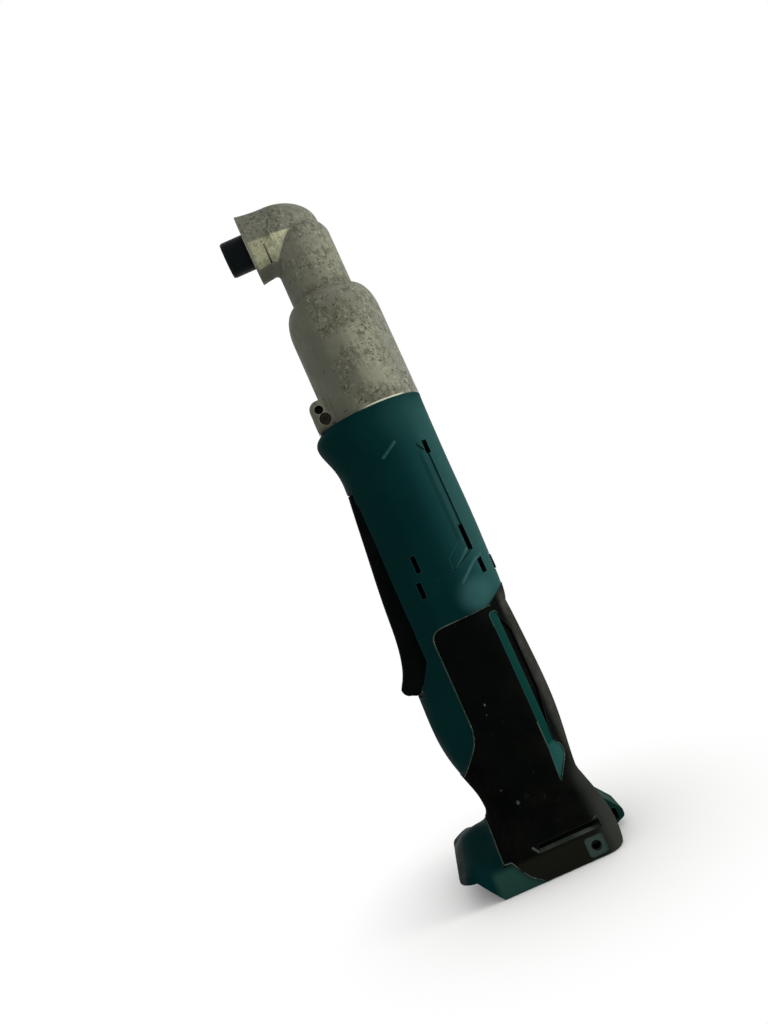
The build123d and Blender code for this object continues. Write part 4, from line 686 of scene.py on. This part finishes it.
def low_toe(q):
    """Where a point of the foot lies once the toe is low and round."""
    x, y, z = q / MM
    ridge = RIDGE_DROP + THROAT_DROP * smooth(x, *THROAT)
    drop = ridge + (FLANK_DROP - ridge) * smooth(abs(y), 0.0, FLANK_HALF)
    drop *= 1 - NOSE_SHARE * hump(-x, *NOSE)
    share = hump(z, *TOE_HEIGHTS) * smooth(x, *TOE_REACH)
    return Vector((x, y, z - drop * share)) * MM


def near_toe_screw(q):
    """Whether a point is on the toe's screw, the only one so far forward and so low."""
    return q.x < SCREW_BACK * MM and q.z < SCREW_TOP * MM


def deeper_screw(q):
    """Where a point of the toe's screw lies once its head is under the lower toe."""
    x, y, z = q / MM
    return Vector((x, SCREW_TIP + (y - SCREW_TIP) * SCREW_SHARE, z - SCREW_DROP)) * MM


def near_paddle_end(q):
    """Whether a point is where the paddle's lower end changes."""
    return q.z < (PADDLE_END[1] + PADDLE_MARGIN) * MM


def short_paddle(q):
    """Where a point of the paddle lies once its lower end is higher."""
    x, y, z = q / MM
    share = smooth(x, *PADDLE_EDGE) * (1 - smooth(z, *PADDLE_END))
    return Vector((x + PADDLE_TUCK * share, y, z + PADDLE_RISE * share)) * MM


def shape_of(node):
    """A copy of a node's mesh to work on."""
    shape = bmesh.new()
    shape.from_mesh(nodes[node].data)
    return shape


def half_of(node, ahead):
    """The part of a node ahead of or behind the plane where the toe is cut."""
    shape = shape_of(node)
    parts = [*shape.verts, *shape.edges, *shape.faces]
    away = (1 if ahead else -1, 0, 0)
    bmesh.ops.bisect_plane(shape, geom=parts, plane_co=(TOE_CUT * MM, 0, 0), plane_no=away, clear_outer=True)
    return shape


def plain_right():
    """The right half of the housing with the left half's toe, which has no screw well."""
    toe = half_of("housing_left", True)
    bmesh.ops.scale(toe, vec=(1, -1, 1), verts=toe.verts)
    bmesh.ops.reverse_faces(toe, faces=toe.faces)
    data = bpy.data.meshes.new("toe_right")
    toe.to_mesh(data)
    toe.free()
    shape = half_of("housing_right", False)
    shape.from_mesh(data)
    bpy.data.meshes.remove(data)
    return shape


def shaped(node, shape, near, moved):
    """Stands for a node by a shape whose points are moved where near says so. Gives its surface."""
    for _ in range(EDGE_SPLITS):
        close = [edge for edge in shape.edges if any(near(v.co) for v in edge.verts)]
        long = [edge for edge in close if edge.calc_length() > EDGE_LENGTH * MM]
        bmesh.ops.subdivide_edges(shape, edges=long, cuts=1)
    bmesh.ops.triangulate(shape, faces=[f for f in shape.faces if len(f.verts) > 3])
    for v in shape.verts:
        if near(v.co):
            v.co = moved(v.co)
    data = nodes[node].data.copy()
    shape.to_mesh(data)
    shape.free()
    soften(data)
    stand_in(f"{node}_shaped", data, node)
    return BVHTree.FromPolygons([v.co for v in data.vertices], [f.vertices for f in data.polygons])


shaped("housing_screws", shape_of("housing_screws"), near_toe_screw, deeper_screw)
shaped("switch_lever", shape_of("switch_lever"), near_paddle_end, short_paddle)
surfaces = []
for name in ("grip_left", "grip_right", "housing_left", "housing_right"):
    start_shape = plain_right() if name == "housing_right" else shape_of(name)
    surfaces.append(shaped(name, start_shape, near_toe, low_toe))

# Thin lines on the flank, as points (x, z) of the side view in millimetres
GRIP_FRONT = [(-31.0, 46.1), (-18.9, 61.8), (-18.9, 111.2), (10.5, 111.7)]
TOE_LINE = [(-29.6, 26.5), (-29.6, 12.9), (-26.4, 12.9), (-21.3, 4.6), (-16.4, 0.8)]
STRIPE_TOP = [(11.9, 103.5), (11.9, 108.8), (8.1, 108.8), (8.0, 102.0)]
LEAF = [(8.0, 58.0), (8.0, 46.0), (7.1, 29.9), (14.2, 39.5), (14.2, 43.2), (12.4, 46.2)]
BAR = [(-7.0, 189.3), (2.2, 195.0)]
CHANNEL_FOOT = [(11.4, 139.2), (2.6, 131.6)]
CHANNEL_STEP = [(16.2, 134.6), (11.4, 132.6), (2.2, 124.7)]
SLOT_RAMP = [(-16.4, 15.1), (-13.7, 11.7)]
SLOT_TICK = [(11.6, 15.5), (14.0, 16.1)]
CORNER_STEPS = 6
LINE_STEP = 0.7
LINE_ROUNDNESS = 4
LINE_TAPER = 0.5
OUTSIDE = 60.0

# The lower side of the hook slot
LEDGE_START = -13.4
LEDGE_END = 13.7
LEDGE_LOW = 11.3
LEDGE_RISE = 1.3
LEDGE_DEPTH = 2.2
LEDGE_SINK = 0.25
LEDGE_STEPS = 12


def on_flank(x, z, side, sink):
    """The point of the housing's outer flank at x and z, or None past its outline."""
    start = Vector((x, side * OUTSIDE, z)) * MM
    inward = Vector((0, -side, 0))
    hits = [surface.ray_cast(start, inward)[0] for surface in surfaces]
    places = [place for place in hits if place is not None]
    if not places:
        return None
    nearest = min(places, key=lambda place: (place - start).length)
    return nearest + inward * sink * MM


def rounded(points, corner):
    """Points along a run of straight lines whose corners are rounded."""
    corners = [Vector(q) for q in points]
    run = [corners[0]]
    for before, here, after in zip(corners, corners[1:], corners[2:]):
        r = min(corner, (before - here).length / 2, (after - here).length / 2)
        start = here + (before - here).normalized() * r
        stop = here + (after - here).normalized() * r
        for i in range(CORNER_STEPS + 1):
            t = i / CORNER_STEPS
            run.append(start * (1 - t) ** 2 + here * 2 * t * (1 - t) + stop * t ** 2)
    run.append(corners[-1])
    dense = [run[0]]
    for a, b in zip(run, run[1:]):
        count = max(1, int((b - a).length / LINE_STEP))
        dense += [a.lerp(b, i / count) for i in range(1, count + 1)]
    return dense


def dress(name, data, look):
    """Puts a new piece on the tool's body."""
    obj = placed(name, data)
    data.materials.append(looks[look])
    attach(obj, "body")


def line(name, points, side, look, corner, width, sink=0.12):
    """A thin raised line on the flank, tapered at its ends and kept inside the CAD model's box."""
    found = [on_flank(q.x, q.y, side, sink) for q in rounded(points, corner)]
    widest = cad_box[1][1] - width / 2 * MM
    run = [Vector((q.x, max(-widest, min(widest, q.y)), q.z)) for q in found if q is not None]
    data = bpy.data.curves.new(name, "CURVE")
    data.dimensions = "3D"
    data.bevel_depth = width / 2 * MM
    data.bevel_resolution = LINE_ROUNDNESS
    data.use_fill_caps = True
    spline = data.splines.new("POLY")
    spline.points.add(len(run) - 1)
    for point, q in zip(spline.points, run):
        point.co = (*q, 1.0)
    spline.points[0].radius = spline.points[-1].radius = LINE_TAPER
    dress(name, data, look)


def ledge(name, side):
    """The lower side of the hook slot, sloping from its edge inward and up."""
    inward = Vector((0, -side * LEDGE_DEPTH * MM, 0))
    rise = Vector((0, 0, LEDGE_RISE * MM))
    corners = []
    for i in range(LEDGE_STEPS + 1):
        x = LEDGE_START + (LEDGE_END - LEDGE_START) * i / LEDGE_STEPS
        edge = on_flank(x, LEDGE_LOW, side, LEDGE_SINK)
        corners += [edge, edge + inward + rise, edge + inward]
    faces = [(0, 1, 2), tuple(len(corners) - 3 + k for k in (2, 1, 0))]
    for i in range(LEDGE_STEPS):
        for a, b in ((0, 1), (1, 2), (2, 0)):
            faces.append((3 * i + a, 3 * i + 3 + a, 3 * i + 3 + b, 3 * i + b))
    data = bpy.data.meshes.new(name)
    data.from_pydata(corners, [], faces)
    shape = bmesh.new()
    shape.from_mesh(data)
    bmesh.ops.recalc_face_normals(shape, faces=shape.faces)
    shape.to_mesh(data)
    shape.free()
    dress(name, data, "ledge")


for side, hand in ((-1, "left"), (1, "right")):
    line(f"grip_lip_{hand}", GRIP_FRONT, side, "lip", corner=6.0, width=0.55)
    line(f"toe_lip_{hand}", TOE_LINE, side, "lip", corner=0.6, width=0.55)
    line(f"stripe_lip_{hand}", STRIPE_TOP, side, "lip", corner=1.8, width=0.5)
    line(f"leaf_lip_{hand}", LEAF, side, "lip", corner=1.5, width=0.5)
    line(f"panel_bar_{hand}", BAR, side, "ridge", corner=1.0, width=2.6, sink=1.1)
    line(f"channel_foot_{hand}", CHANNEL_FOOT, side, "ridge", corner=1.0, width=2.4, sink=1.05)
    line(f"channel_step_{hand}", CHANNEL_STEP, side, "ridge", corner=1.5, width=2.6, sink=1.1)
    line(f"slot_ramp_{hand}", SLOT_RAMP, side, "ledge", corner=1.0, width=1.6, sink=0.6)
    line(f"slot_tick_{hand}", SLOT_TICK, side, "ledge", corner=1.0, width=0.7, sink=0.2)
    ledge(f"slot_ledge_{hand}", side)


def pressed(node):
    """Stands for a spring of the CAD model by a copy of its mesh, on the spring's own body."""
    coil = stand_in(f"{node}_coil", nodes[node].data.copy(), node)
    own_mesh(coil)


pressed("hammer_spring")
pressed("sleeve_spring")

# One low lamp from the right, in metres and watts
KEY_PLACE = Vector((1.2, -0.30, 0.12))
KEY_AIM = Vector((0.0, 0.0, 0.165))
KEY_SIZE = 0.6
KEY_POWER = 26.0
KEY_COLOUR = (1.0, 0.985, 0.95)
key_data = bpy.data.lights.new("key_light", "AREA")
key_data.shape = "DISK"
key_data.size = KEY_SIZE
key_data.energy = KEY_POWER
key_data.color = KEY_COLOUR
key_light = placed("key_light", key_data)
key_light.location = KEY_PLACE
key_light.rotation_euler = (KEY_AIM - KEY_PLACE).to_track_quat("-Z", "Y").to_euler()


def backdrop_strength(tree, seen, unseen):
    """Strength of a white backdrop: one value where it is seen or mirrored, another as light."""
    path = add_node(tree, "ShaderNodeLightPath", {})
    total = path.outputs["Is Camera Ray"]
    for name in ("Is Glossy Ray", "Is Transmission Ray"):
        both = {0: total, 1: path.outputs[name]}
        total = add_node(tree, "ShaderNodeMath", both, operation="ADD", use_clamp=True).outputs[0]
    inputs = {"Value": total, "To Min": unseen, "To Max": seen}
    return add_node(tree, "ShaderNodeMapRange", inputs).outputs["Result"]


# A white world, a little weaker as light than as it is seen
WHITE = (1, 1, 1, 1)
FILL = 0.85
world = bpy.data.worlds.new("studio")
bpy.context.scene.world = world
world.use_nodes = True
sky = world.node_tree.nodes["Background"]
feed(world.node_tree, sky.inputs["Color"], WHITE)
feed(world.node_tree, sky.inputs["Strength"], backdrop_strength(world.node_tree, 1.0, FILL))

# A floor that takes the shadow near the tool and fades to plain white away from it, in metres
FLOOR_HALF = 3.0
FLOOR_DROP = 0.0002
FLOOR_NEAR = 0.035
FLOOR_FAR = 0.12
FLOOR_COLOUR = (0.93, 0.93, 0.92)
floor_data = bpy.data.meshes.new("floor")
floor_corners = [(x * FLOOR_HALF, y * FLOOR_HALF, 0) for x, y in ((-1, -1), (1, -1), (1, 1), (-1, 1))]
floor_data.from_pydata(floor_corners, [], [(0, 1, 2, 3)])
floor = placed("floor", floor_data)
floor.location.z = -FLOOR_DROP
floor_look = Look("floor_white", FLOOR_COLOUR, 0.9, specular=0.0)
glow = floor_look.node("ShaderNodeEmission", {})
away = floor_look.ramp(floor_look.vector("LENGTH", floor_look.place), FLOOR_NEAR, FLOOR_FAR)
shown = floor_look.times(away, backdrop_strength(floor_look.tree, 1.0, 0.0))
layers = {"Fac": shown, 1: floor_look.shader.outputs[0], 2: glow.outputs[0]}
blend = floor_look.node("ShaderNodeMixShader", layers)
feed(floor_look.tree, floor_look.out.inputs["Surface"], blend.outputs[0])
floor_data.materials.append(floor_look.material)

# The photographed camera
TILT = math.radians(5)
ROLL = math.radians(24)
FOCAL_PX = 770
LONG_SIDE_PX = 1024
SENSOR = 36.0
NEAREST = 0.01
EYE = Vector((-0.0155, -0.3606, 0.13825))
right = Vector((math.cos(ROLL), math.sin(ROLL) * math.sin(TILT), -math.sin(ROLL) * math.cos(TILT)))
up = Vector((math.sin(ROLL), -math.cos(ROLL) * math.sin(TILT), math.cos(ROLL) * math.cos(TILT)))
back = Vector((0, -math.cos(TILT), -math.sin(TILT)))
camera_data = bpy.data.cameras.new("camera")
camera_data.sensor_width = SENSOR
camera_data.lens = FOCAL_PX / LONG_SIDE_PX * SENSOR
camera_data.clip_start = NEAREST
camera = placed("camera", camera_data)
camera.matrix_world = Matrix.Translation(EYE) @ Matrix((right, up, back)).transposed().to_4x4()
bpy.context.scene.camera = camera
bpy.context.scene.view_settings.view_transform = "Standard"
